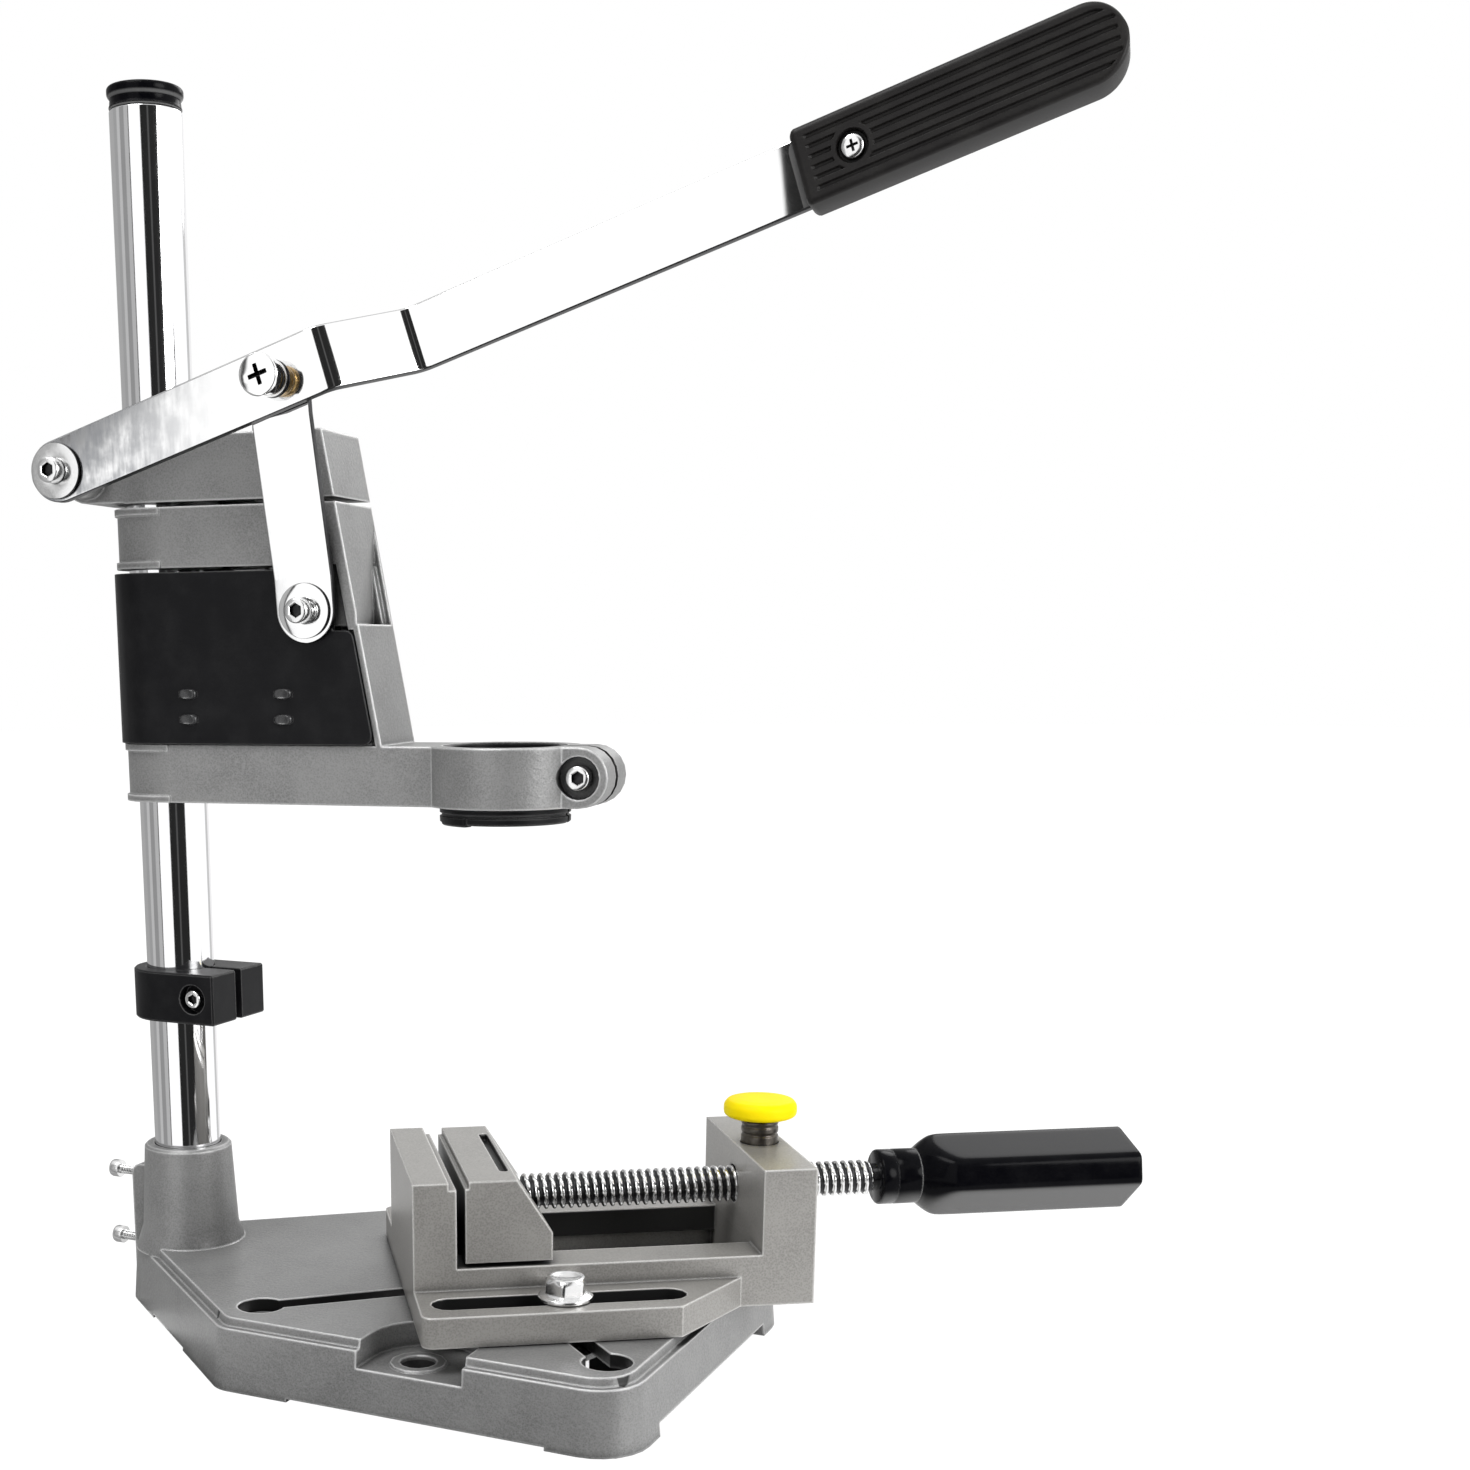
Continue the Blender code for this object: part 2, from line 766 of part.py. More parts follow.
def make_base(look):
    loops = [layer(base_outline(side_flare), 0), layer(base_outline(0), rim_level)]
    loops += [layer(base_outline(-rim_width), rim_level),
              layer(base_outline(-rim_width - rim_drop / 4), plate_height)]
    base = lofted("base_casting", loops, look)
    deck_bottom = plate_height - base_deck
    hollow = prism("hollow", base_outline(-base_wall), -overrun, deck_bottom, look)
    socket_core = rod("socket_core", socket_foot_radius, -2 * overrun, plate_height, look, steps=big_steps)
    hollow = cut(hollow, socket_core)
    rib_middle = keyhole_back - keyhole_diameter
    rib = slab("rib", (rib_middle - rib_width / 2, rib_middle + rib_width / 2), (-plate_half, plate_half),
               (deck_bottom - rib_drop, plate_height), look)
    hollow = cut(hollow, rib)
    cut(base, hollow)
    notch_back = plate_half - notch_reach
    for side in (-1, 1):
        block = notch_outline(notch_radius + notch_wall, -plate_half + rim_width, notch_back - notch_wall)
        block = [(a, -side * b) for a, b in block]
        fuse(base, prism("notch_block", block, notch_floor - notch_pad, rim_level, look))
        bay = [(a, -side * b) for a, b in notch_outline(notch_radius, -plate_half - overrun, notch_back)]
        cut(base, prism("bay", bay, notch_floor, plate_height + overrun, look))
        hole = (slot_centre, side * (plate_half - mount_hole_inset))
        fuse(base,
             rod("mount_boss", mount_boss / 2, notch_floor - notch_pad / 2, notch_floor + mount_boss_rise,
                 look, hole))
        cut(base,
            rod("mount_hole", mount_hole / 2, notch_floor - notch_pad - overrun, plate_height, look, hole))
    reach = foot_length - side_flare
    inside = plate_front - base_wall - rim_width
    cut(base,
        slab("arch", (0, inside), (-plate_half + reach, plate_half - reach), (-overrun, foot_height), look))
    cut(base,
        slab("arch", (inside - overrun, plate_front + 2 * side_flare),
             (-plate_half + reach, plate_half - reach),
                   (-overrun, front_arch_height), look))
    cut(base,
        slab("arch", (neck_end + foot_length, plate_front - foot_length), (-plate_width, plate_width),
             (-overrun, foot_height), look))
    fuse(base, rod("socket_foot", socket_foot_radius, 0, rim_level, look, steps=big_steps))
    top_radius = column_bore + socket_wall
    profile = [(0, plate_height - rim_drop), (socket_foot_radius + socket_fillet, plate_height - rim_drop)]
    profile += [(socket_foot_radius + socket_fillet / 2, plate_height + socket_fillet / 2)]
    profile += [(socket_foot_radius, plate_height + 2 * socket_fillet),
                (top_radius, socket_top - socket_chamfer)]
    profile += [(top_radius - socket_chamfer, socket_top), (0, socket_top)]
    fuse(base, turned("socket", profile, look, steps=big_steps))
    rib_end = socket_rib_width / 2
    rib_outline = [(0, rim_level / 2), (-socket_rib_back, rim_level / 2)]
    rib_outline += arc((-socket_rib_back + socket_screw_diameter, socket_rib_top - socket_screw_diameter),
                       socket_screw_diameter, pi, pi / 2, arc_steps // 2) + [(0, socket_rib_top)]
    fuse(base, prism("socket_rib", rib_outline, -rib_end, rib_end, look, "Y"))
    cut(base, rod("column_bore", column_bore, socket_floor, socket_top + overrun, look, steps=big_steps))
    for height in socket_screw_heights:
        cut(base,
            rod("screw_hole", socket_screw_diameter / 2 + gap, -socket_rib_back - 2 * overrun, 0, look,
                (0, height), "X"))
    low, high = -overrun, plate_height + overrun
    for along, across in ((1, 1), (1, -1)):
        ends = [(slot_centre - s * along * keyhole_along, -s * across * keyhole_across) for s in (-1, 1)]
        cut(base, slot_cutter("slot", ends[0], ends[1], slot_width, low, high, look))
        for end in ends:
            cut(base, rod("keyhole", keyhole_diameter / 2, low, high, look, end, steps=middle_steps))
    cut(base, rod("centre_hole", centre_hole / 2, low, high, look, (slot_centre, 0), steps=middle_steps))
    return shade(base)


def make_socket_screws(look):
    names = ("socket_screw_lower", "socket_screw_upper")
    seat = -socket_rib_back - socket_screw_standoff
    tip = -column_radius - gap
    return [socket_screw(name, socket_screw_diameter, seat, tip, look, (0, height), "X", -1)
            for name, height in zip(names, socket_screw_heights)]


# Column, cap and stop collar
def make_column(look):
    inner = column_radius - column_wall
    return tube("column_tube", column_radius, inner, socket_floor + gap, column_top, look, steps=big_steps)


def make_cap(look):
    seat = column_top + gap
    flange = column_radius + cap_flange_overhang
    plug = column_radius - column_wall - gap
    widest = seat + cap_neck + edge_break
    rim = widest + cap_flange_height
    profile = [(0, column_top - cap_plug_depth), (plug, column_top - cap_plug_depth), (plug, seat),
               (column_radius, seat)]
    profile += [(column_radius + edge_break, seat + cap_neck), (flange, widest),
                (flange, rim - edge_break), (flange - edge_break, rim)]
    profile += [(flange / 2, rim + cap_dome * cap_shoulder_share), (0, rim + cap_dome)]
    return turned("column_cap", profile, look, steps=big_steps)


def make_stop_collar(look):
    radius = column_bore + stop_wall
    top = stop_bottom + stop_height
    outline = arc((0, 0), radius, pi / 2, 3 * pi / 2, 3 * arc_steps) + [(stop_reach, -radius),
            (stop_reach, radius)]
    collar = soften(prism("stop_collar", outline, stop_bottom, top, look), edge_break)
    cut(collar, rod("bore", column_bore, stop_bottom - overrun, top + overrun, look, steps=big_steps))
    cut(collar, slab("slit", (0, stop_reach + overrun), (-stop_slit / 2, stop_slit / 2),
                     (stop_bottom - overrun, top + overrun), look))
    centre = (stop_screw_reach, stop_bottom + stop_height / 2)
    cut(collar,
        rod("hole", stop_screw_diameter / 2 + gap, -radius - overrun, radius + overrun, look, centre, "Y"))
    cut(collar,
        rod("recess", stop_recess_diameter / 2, -radius - overrun, -radius + stop_recess_depth, look,
            centre, "Y", middle_steps))
    pocket = hexagon(centre, stop_screw_diameter * nut_flats_share + 2 * gap)
    cut(collar,
        prism("pocket", pocket, radius - stop_screw_diameter * nut_height_share, radius + overrun, look,
              "Y"))
    return shade(collar)


def make_stop_fasteners(look):
    radius = column_bore + stop_wall
    centre = (stop_screw_reach, stop_bottom + stop_height / 2)
    nut_low = radius - stop_screw_diameter * nut_height_share + gap
    screw = socket_screw("stop_screw", stop_screw_diameter, -radius + stop_recess_depth - gap, radius,
                         look, centre, "Y", -1)
    return [screw, nut("stop_nut", stop_screw_diameter, nut_low, radius, look, centre, "Y")]


# Head bracket with what it carries
def plan_outline(front, back_radius, half_width):
    """Round behind the column and straight sided to the front."""
    rear = arc((0, 0), back_radius, pi / 2, 3 * pi / 2, 2 * arc_steps)
    return rear + [(back_radius / 4, -half_width), (front, -half_width), (front, half_width),
                   (back_radius / 4, half_width)]


def sloped_outline(bottom, top, back):
    return [(back, bottom), (front_at(bottom), bottom), (front_at(top), top), (back, top)]


def make_head(look):
    reach = front_at(head_bottom)
    back = -pivot_back - ear_radius
    head = prism("head_bracket", sloped_outline(head_bottom, head_top, -band_half_width), -band_half_width,
                 band_half_width, look, "Y")
    keep_inside(head, prism("plan", plan_outline(reach + overrun, band_back_radius, band_half_width),
                            head_bottom - overrun, head_top + overrun, look))
    ear_centre = (-pivot_back, pivot_height)
    ear = [(0, head_bottom + gap), (0, head_top - gap)] + arc(ear_centre, ear_radius, pi / 2, 3 * pi / 2,
            2 * arc_steps)
    ear_half = band_back_radius - casting_wall / 2
    fuse(head, prism("ear", ear, -ear_half, ear_half, look, "Y"))
    boss_face = -band_half_width - pivot_boss_length
    fuse(head,
         rod("pivot_boss", pivot_boss_radius, boss_face, -ear_half / 2, look, ear_centre, "Y",
             middle_steps))
    inner = band_half_width - casting_wall
    shaft = rectangle((column_bore + shaft_clear, reach - front_wall - head_height * front_slope),
                      (-inner, inner))
    cut(head, prism("pocket", shaft, head_bottom - overrun, head_top - head_deck, look))
    boss_top = head_top + rod_boss_height
    fuse(head,
         rod("rod_boss", rod_boss_diameter / 2, head_bottom + gap, boss_top, look, (rod_reach, 0),
             steps=middle_steps))
    cut(head, rod("bore", column_bore, head_bottom - overrun, head_top + overrun, look, steps=big_steps))
    cut(head,
        rod("rod_bore", rod_diameter / 2 + gap, head_bottom - overrun, boss_top + overrun, look,
            (rod_reach, 0)))
    cut(head,
        slab("slit", (back - overrun, 0), (-ear_slit / 2, ear_slit / 2),
             (head_bottom - overrun, head_top + overrun), look))
    cut(head,
        rod("pivot_bore", pivot_bolt_diameter / 2 + gap, boss_face - overrun, band_half_width, look,
            ear_centre, "Y"))
    return shade(head)


def make_pivot(steel):
    """The bolt clamps the sleeve against the boss, and the lever turns on the sleeve."""
    centre = (-pivot_back, pivot_height)
    boss_face = -band_half_width - pivot_boss_length
    sleeve_tip = -lever_near - gap
    ear_half = band_back_radius - casting_wall / 2
    washer_face = sleeve_tip - gap - washer_thickness
    nut_low = ear_half + gap
    nut_high = nut_low + pivot_bolt_diameter * nut_height_share
    return [
        socket_screw("pivot_bolt", pivot_bolt_diameter, washer_face - gap, nut_high + gap, steel, centre,
                     "Y", -1),
        washer("pivot_washer", big_washer_diameter, pivot_bolt_diameter, washer_face,
               washer_face + washer_thickness, steel, centre, "Y"),
        washer("pivot_sleeve", pivot_sleeve_diameter, pivot_bolt_diameter, sleeve_tip, boss_face - gap,
               steel, centre, "Y"),
        nut("pivot_nut", pivot_bolt_diameter, nut_low, nut_high, steel, centre, "Y"),
    ]


def make_rod(steel):
    centre = (rod_reach, 0)
    boss_top = head_top + rod_boss_height
    nut_height = rod_diameter * nut_height_share
    nut_low = rod_bottom + rod_nut_lift
    washer_low = nut_low + nut_height + gap
    top_nut = boss_top + gap
    return [
        turned("guide_rod", [(0, rod_bottom), (rod_diameter / 2, rod_bottom),
                             (rod_diameter / 2, top_nut + nut_height + rod_stub), (0,
                                     top_nut + nut_height + rod_stub)], steel, centre),
        nut("rod_end_nut", rod_diameter, nut_low, nut_low + nut_height, steel, centre, "Z"),
        washer("rod_washer", 2 * spring_seat, rod_diameter, washer_low, washer_low + washer_thickness,
               steel, centre, "Z"),
        nut("rod_top_nut", rod_diameter, top_nut, top_nut + nut_height, steel, centre, "Z"),
        coil("return_spring", spring_mean_diameter / 2, spring_wire / 2,
             washer_low + washer_thickness + gap,
             upper_band_bottom - gap, spring_turns, steel, centre),
    ]


# Lever, in its own frame: X along the bar from the pivot, Z across it
def make_lever_bar(look):
    """A flat bar, set back by two bends between the link's joint and the grip."""
    near = -lever_near + lever_thickness / 2
    far = near + lever_offset
    round_end = -lever_width / 2
    corners = [(round_end - overrun, near), (lever_first_bend, near), (lever_second_bend, far),
               (lever_end, far)]
    plan = bent_strip(corners, lever_thickness, lever_bend_inside)
    bar = prism("lever_bar", plan, -lever_width, lever_width, look)
    half, tang = lever_width / 2, tang_width / 2
    side = arc((0, 0), half, pi / 2, 3 * pi / 2, 2 * arc_steps) + [(tang_start, -half),
            (tang_start, -tang), (lever_end + overrun, -tang)]
    side += [(lever_end + overrun, tang), (tang_start, tang), (tang_start, half)]
    keep_inside(bar, prism("side", side, -lever_near - overrun, lever_offset, look, "Y"))
    cut(bar,
        rod("pivot_hole", pivot_sleeve_diameter / 2 + gap, -lever_near - overrun, 0, look, (0, 0), "Y",
            middle_steps))
    cut(bar,
        rod("link_hole", link_screw_diameter / 2 + gap, -lever_near - overrun, 0, look, (crank, 0), "Y"))
    cut(bar,
        rod("grip_hole", grip_screw_diameter / 2 + gap, -lever_near, lever_offset, look,
            (grip_screw_place, 0), "Y"))
    return shade(bar)


def grip_outline(inset):
    half = grip_width / 2 - inset
    end = grip_end - inset - half
    start = grip_start + inset
    corner = grip_edge
    outline = arc((end, 0), half, -pi / 2, pi / 2, 2 * arc_steps)
    outline += arc((start + corner, half - corner), corner, pi / 2, pi, arc_steps // 4)
    outline += arc((start + corner, -half + corner), corner, pi, 3 * pi / 2, arc_steps // 4)
    return outline


def make_grip(look):
    middle = -lever_near + lever_thickness / 2 + lever_offset
    front, back = middle - grip_thickness / 2, middle + grip_thickness / 2
    loops = [[(a, h, b) for a, b in grip_outline(inset)] for inset, h in
             ((grip_edge, front), (0, front + grip_edge), (0, back - grip_edge), (grip_edge, back))]
    grip = lofted("lever_grip", loops, look)
    pocket = rectangle((grip_start - overrun, lever_end + gap),
                       (-tang_width / 2 - gap, tang_width / 2 + gap))
    half = lever_thickness / 2 + gap
    cut(grip, prism("pocket", pocket, middle - half, middle + half, look, "Y"))
    shoulder = rectangle((grip_start - overrun, tang_start + gap),
                         (-lever_width / 2 - gap, lever_width / 2 + gap))
    cut(grip, prism("shoulder", shoulder, middle - half, middle + half, look, "Y"))
    centre = (grip_screw_place, 0)
    cut(grip,
        rod("recess", grip_recess_diameter / 2, front - overrun, front + grip_recess_depth, look, centre,
            "Y", middle_steps))
    cut(grip,
        rod("hole", grip_screw_diameter / 2 + gap, front - overrun, back + overrun, look, centre, "Y"))
    return shade(grip)


def make_grip_screw(look):
    middle = -lever_near + lever_thickness / 2 + lever_offset
    seat = middle - grip_thickness / 2 + grip_recess_depth - gap
    return pan_screw("grip_screw", grip_screw_diameter, seat, middle + grip_thickness / 2 - gap, look,
                     (grip_screw_place, 0), "Y", -1)


def make_link_screw(steel, dark):
    """The cross-head screw on which the link turns, with its collar, washer and nut."""
    centre = (crank, 0)
    washer_low = -lever_near - gap - washer_thickness
    collar_low = washer_low - gap - link_collar_length
    nut_low = link_back_face + gap
    nut_high = nut_low + link_screw_diameter * nut_height_share
    return [
        pan_screw("link_screw", link_screw_diameter, collar_low - gap, nut_high, steel, centre, "Y", -1,
                  link_screw_head_diameter, link_screw_head_height),
        washer("link_collar", link_collar_diameter, link_screw_diameter, collar_low,
               collar_low + link_collar_length, dark, centre, "Y"),
        washer("link_collar_washer", link_collar_washer_diameter, link_screw_diameter, washer_low,
               washer_low + washer_thickness,
               steel, centre, "Y"),
        nut("link_screw_nut", link_screw_diameter, nut_low, nut_high, steel, centre, "Y", lever_tilt),
    ]


# Link, in its own frame: from the lever's joint down along -Z
def make_link(look):
    """A strap with a long joggle. Its lower hole is a slot across it, where the closed linkage is opened."""
    half = link_width / 2
    low, high = -link_length - half - overrun, half + overrun
    front, back = link_front_face, link_back_face
    near = (front + back) / 2
    corners = [(near, high), (near, -link_joggle_start), (near + link_joggle, -link_joggle_end),
               (near + link_joggle, low)]
    profile = bent_strip(corners, link_thickness, link_bend_inside)
    link = prism("link_plate", profile, -half - overrun, half + overrun, look, "X")
    outline = arc((0, 0), half, 0, pi, 2 * arc_steps) + arc((0, -link_length), half, pi, 2 * pi,
                                                            2 * arc_steps)
    keep_inside(link, prism("outline", outline, front - overrun, link_foot_back + overrun, look, "Y"))
    cut(link,
        rod("hole", link_screw_diameter / 2 + gap, front - overrun, back + overrun, look, (0, 0), "Y"))
    slot_half = link_bolt_diameter / 2 + link_slot_play
    ends = arc((0, -link_length), slot_half, -pi / 2, pi / 2) + arc((-link_sweep, -link_length), slot_half,
            pi / 2, 3 * pi / 2)
    cut(link, prism("slot", ends, link_foot_front - overrun, link_foot_back + overrun, look, "Y"))
    return shade(link)


# Carriage with what it carries
def make_carriage(look):
    half = band_half_width
    body = prism("carriage_casting", sloped_outline(carriage_bottom, carriage_top, -half), -half, half,
                 look, "Y")
    keep_inside(body,
                prism("plan", plan_outline(throat, band_back_radius, half), carriage_bottom - overrun,
                      carriage_top + overrun, look))
    opening = [(-half - overrun, lower_band_top), (front_at(lower_band_top) - front_wall, lower_band_top),
               (front_at(upper_band_bottom) - front_wall, upper_band_bottom), (-half - overrun,
                       upper_band_bottom)]
    cut(body, prism("opening", opening, -half - overrun, half + overrun, look, "Y"))
    add_lips(body, carriage_bottom, look)
    add_lips(body, upper_band_bottom, look)
    inner = half - casting_wall
    shaft_start = column_bore + shaft_clear
    block_back, block_front = rod_reach - rod_block_half, rod_reach + rod_block_half
    upper_front = front_at(carriage_top) - front_wall
    cut(body,
        slab("shaft", (shaft_start, block_back), (-inner, inner),
             (carriage_bottom - overrun, carriage_top + overrun), look))
    cut(body,
        slab("shaft", (block_front, upper_front), (-inner, inner),
             (carriage_bottom - overrun, carriage_top + overrun), look))
    cut(body, slab("shaft", (block_back - overrun, front_at(lower_band_top) - front_wall), (-inner, inner),
                   (carriage_bottom - overrun, lower_band_top + overrun), look))
    arm = rectangle((front_at(lower_band_top) - front_wall, throat), (-half, half))
    fuse(body, prism("arm", arm, carriage_bottom, lower_band_top, look))
    fuse(body,
         rod("ring", ring_radius, carriage_bottom, lower_band_top, look, (throat, 0), steps=ring_steps))
    lug = rectangle((throat, lug_reach), (carriage_bottom, lower_band_top))
    fuse(body, prism("lug_root", lug, -lug_half_width, lug_half_width, look, "Y"))
    fuse(body,
         rod("lug", lug_radius, -lug_half_width, lug_half_width, look, (lug_reach, lug_height), "Y",
             middle_steps))
    cut(body,
        rod("ring_bore", ring_bore, carriage_bottom - overrun, lower_band_top + overrun, look, (throat, 0),
            steps=ring_steps))
    cut(body, slab("ring_slit", (throat, lug_reach + lug_radius + overrun), (-ring_slit / 2, ring_slit / 2),
                   (carriage_bottom - overrun, lower_band_top + overrun), look))
    lug_centre = (lug_reach, lug_height)
    cut(body,
        rod("clamp_hole", clamp_bolt_diameter / 2 + gap, -lug_half_width - overrun,
            lug_half_width + overrun, look, lug_centre, "Y"))
    cut(body,
        rod("lug_recess", lug_recess_diameter / 2, -lug_half_width - overrun,
            -lug_half_width + lug_recess_depth,
                  look, lug_centre, "Y", middle_steps))
    cut(body,
        rod("column_bore", column_bore, carriage_bottom - overrun, carriage_top + overrun, look,
            steps=big_steps))
    cut(body,
        rod("rod_bore", rod_diameter / 2 + gap, upper_band_bottom - overrun, carriage_top + overrun, look,
            (rod_reach, 0)))
    add_recess(body, look)
    add_link_boss(body, look)
    add_cover_tabs(body, look)
    add_cover_rebates(body, look)
    add_band_screw_hole(body, look)
    return shade(body)


def add_lips(body, band_low, look):
    """Thin rims round the back of a band, at its top and its bottom edge."""
    outer = band_back_radius + lip_depth
    outline = arc((0, 0), outer, pi / 2, 3 * pi / 2, 2 * arc_steps)
    outline += [(lip_reach, -band_half_width - lip_depth / 2), (lip_reach, 0),
                (lip_reach, band_half_width + lip_depth / 2)]
    for low in (band_low, band_low + band_height - lip_height):
        fuse(body, prism("lip", outline, low, low + lip_height, look))


def add_recess(body, look):
    """An upright recess in the sloped front, with a flat back. A thin wall closes it at +Y."""
    low = carriage_bottom + recess_rise
    mouth = front_at(low)
    back = mouth - recess_depth
    wall = band_half_width - recess_side_wall
    pad_low = low - recess_back_wall
    pad_back = back - recess_back_wall
    pad = [(pad_back, pad_low), (front_at(pad_low) - front_wall / 2, pad_low),
           (front_at(upper_band_bottom) - front_wall / 2, upper_band_bottom + gap), (pad_back,
                   upper_band_bottom + gap)]
    fuse(body, prism("recess_pad", pad, -recess_pad_half, cover_half_width - cover_wall - gap, look, "Y"))
    outline = [(mouth - recess_edge, -band_half_width), (back, wall), (mouth + overrun, wall),
               (mouth + overrun, -band_half_width)]
    cut(body, prism("recess", outline, low, carriage_top + overrun, look))


def add_link_boss(body, look):
    """A web at the side with the boss that the link's bolt is screwed into."""
    inner = band_half_width - casting_wall
    outer = cover_half_width - cover_wall - gap
    bottom = upper_band_bottom - cover_step_drop
    web = [(link_web_back, bottom), (front_at(bottom) - front_wall / 2, bottom),
           (front_at(upper_band_bottom) - front_wall / 2, upper_band_bottom + gap), (link_web_back,
                   upper_band_bottom + gap)]
    fuse(body, prism("web", web, -outer, -inner + casting_wall / 2, look, "Y"))
    centre = (link_foot_x, link_foot_z)
    fuse(body, rod("boss", link_boss_radius, link_foot_back + gap, -inner, look, centre, "Y", middle_steps))
    cut(body,
        rod("boss_hole", link_bolt_diameter / 2 + gap, link_foot_back - overrun, 0, look, centre, "Y"))


def add_cover_tabs(body, look):
    """Tabs and a side wall at +Y that take the cover's screws."""
    outer = cover_half_width - cover_wall - gap
    inner = outer - casting_wall
    back = cover_screw_back_reach
    for low in (lower_band_top - gap, upper_band_bottom - cover_tab_height):
        fuse(body, slab("tab", (back - cover_tab_width / 2, back + cover_tab_width / 2), (inner, outer),
                        (low, low + cover_tab_height + gap), look))
    wall_back = rod_reach - cover_tab_width
    wall = [(wall_back, lower_band_top - gap),
            (front_at(lower_band_top) - front_wall / 2, lower_band_top - gap),
            (front_at(upper_band_bottom) - front_wall / 2, upper_band_bottom + gap), (wall_back,
                    upper_band_bottom + gap)]
    fuse(body, prism("side_wall", wall, inner, outer, look, "Y"))
    for centre in cover_screw_places:
        cut(body,
            rod("screw_hole", cover_screw_diameter / 2 + gap, inner - overrun, outer + overrun, look,
                centre, "Y"))


def add_cover_rebates(body, look):
    """Rebates in the front wall's sides that take the cover's edges."""
    low, high = lower_band_top, cover_top - cover_step_drop + gap
    seat = cover_half_width - cover_wall - gap
    back = front_wall + overrun
    reach = cover_front_setback - gap
    side = [(front_at(low) - back, low), (front_at(low) - reach, low), (front_at(high) - reach, high),
            (front_at(high) - back, high)]
    for way in (-1, 1):
        cut(body, prism("rebate", side, way * seat, way * (band_half_width + overrun), look, "Y"))


def add_band_screw_hole(body, look):
    hole = cover_screw_diameter / 2 + gap
    cut(body, rod("band_screw_hole", hole, 0, band_half_width + overrun, look, band_screw_place, "Y"))


def make_cover(look):
    """A U-shaped cover round the column, its front edges stepped and sloped."""
    bottom, top = cover_bottom, cover_top
    half = cover_half_width
    step = bottom + (top - bottom) - cover_step_drop
    setback = cover_front_setback
    side = [(-half - overrun, bottom), (front_at(bottom) - setback, bottom),
            (front_at(step) - setback, step),
            (cover_step_reach, step), (cover_step_reach, top), (-half - overrun, top)]
    for corner in (2, 1):
        side = round_corner(side, corner, cover_corner, arc_steps // 2)
    cover = prism("spring_cover", side, -half, half, look, "Y")
    keep_inside(cover,
                prism("plan", plan_outline(throat, half, half), bottom - overrun, top + overrun, look))
    inner = half - cover_wall
    cut(cover, prism("inside", plan_outline(throat, inner, inner), bottom - overrun, top + overrun, look))
    boss_hole = rod("boss_hole", link_boss_radius + gap, -half - overrun, 0, look,
                    (link_foot_x, link_foot_z), "Y", middle_steps)
    cut(cover, boss_hole)
    for reach, rise in clip_places:
        span = (reach - clip_length / 2, reach + clip_length / 2)
        cut(cover, slab("clip", span, (-half - overrun, -half + clip_depth),
                        (bottom + rise - clip_width / 2, bottom + rise + clip_width / 2), look))
    for centre in cover_screw_places:
        cut(cover, rod("hole", cover_screw_diameter / 2 + gap, 0, half + overrun, look, centre, "Y"))
    return shade(soften(cover, cover_wall / 8, cover_soften_angle))


def make_cover_screws(look):
    screws = []
    outer = cover_half_width - cover_wall - gap
    for number, centre in enumerate(cover_screw_places, 1):
        screws.append(pan_screw(f"cover_screw_{number}", cover_screw_diameter, cover_half_width + gap,
                                outer - casting_wall,
                                look, centre, "Y", 1))
    screws.append(pan_screw("band_screw", cover_screw_diameter, band_half_width + gap,
                            band_half_width - casting_wall,
                            look, band_screw_place, "Y", 1))
    return screws


def make_sleeve(look):
    outer = drill_collar / 2 - sleeve_fit / 2
    inner = sleeve_bore / 2
    flange = drill_collar / 2 + sleeve_flange
    flange_top = carriage_bottom - gap
    bottom = flange_top - sleeve_flange_height
    profile = [(inner, bottom), (flange - edge_break, bottom), (flange, bottom + edge_break),
               (flange, flange_top), (outer, flange_top),
               (outer, lower_band_top), (inner, lower_band_top)]
    sleeve = turned("reducing_sleeve", profile, look, (throat, 0), "Z", ring_steps)
    cut(sleeve,
        slab("split", (throat, throat + 2 * flange), (-sleeve_split / 2, sleeve_split / 2),
             (bottom - overrun, carriage_top), look))
    return shade(sleeve)


def make_clamp(look):
    centre = (lug_reach, lug_height)
    seat = -lug_half_width + lug_recess_depth - gap
    nut_low = lug_half_width + gap
    nut_high = nut_low + clamp_bolt_diameter * nut_height_share
    return [socket_screw("clamp_bolt", clamp_bolt_diameter, seat, nut_high + gap, look, centre, "Y", -1),
            nut("clamp_nut", clamp_bolt_diameter, nut_low, nut_high, look, centre, "Y")]


def make_link_bolt(look):
    """The bolt and washer that hold the link's lower end, fixed in the carriage's boss."""
    centre = (link_foot_x, link_foot_z)
    washer_low = link_foot_front - gap - washer_thickness
    return [socket_screw("link_bolt", link_bolt_diameter, washer_low - link_bolt_standoff,
                         -band_half_width + casting_wall,
                         look, centre, "Y", -1),
            washer("link_washer", big_washer_diameter, link_bolt_diameter, washer_low,
                   washer_low + washer_thickness, look, centre, "Y")]


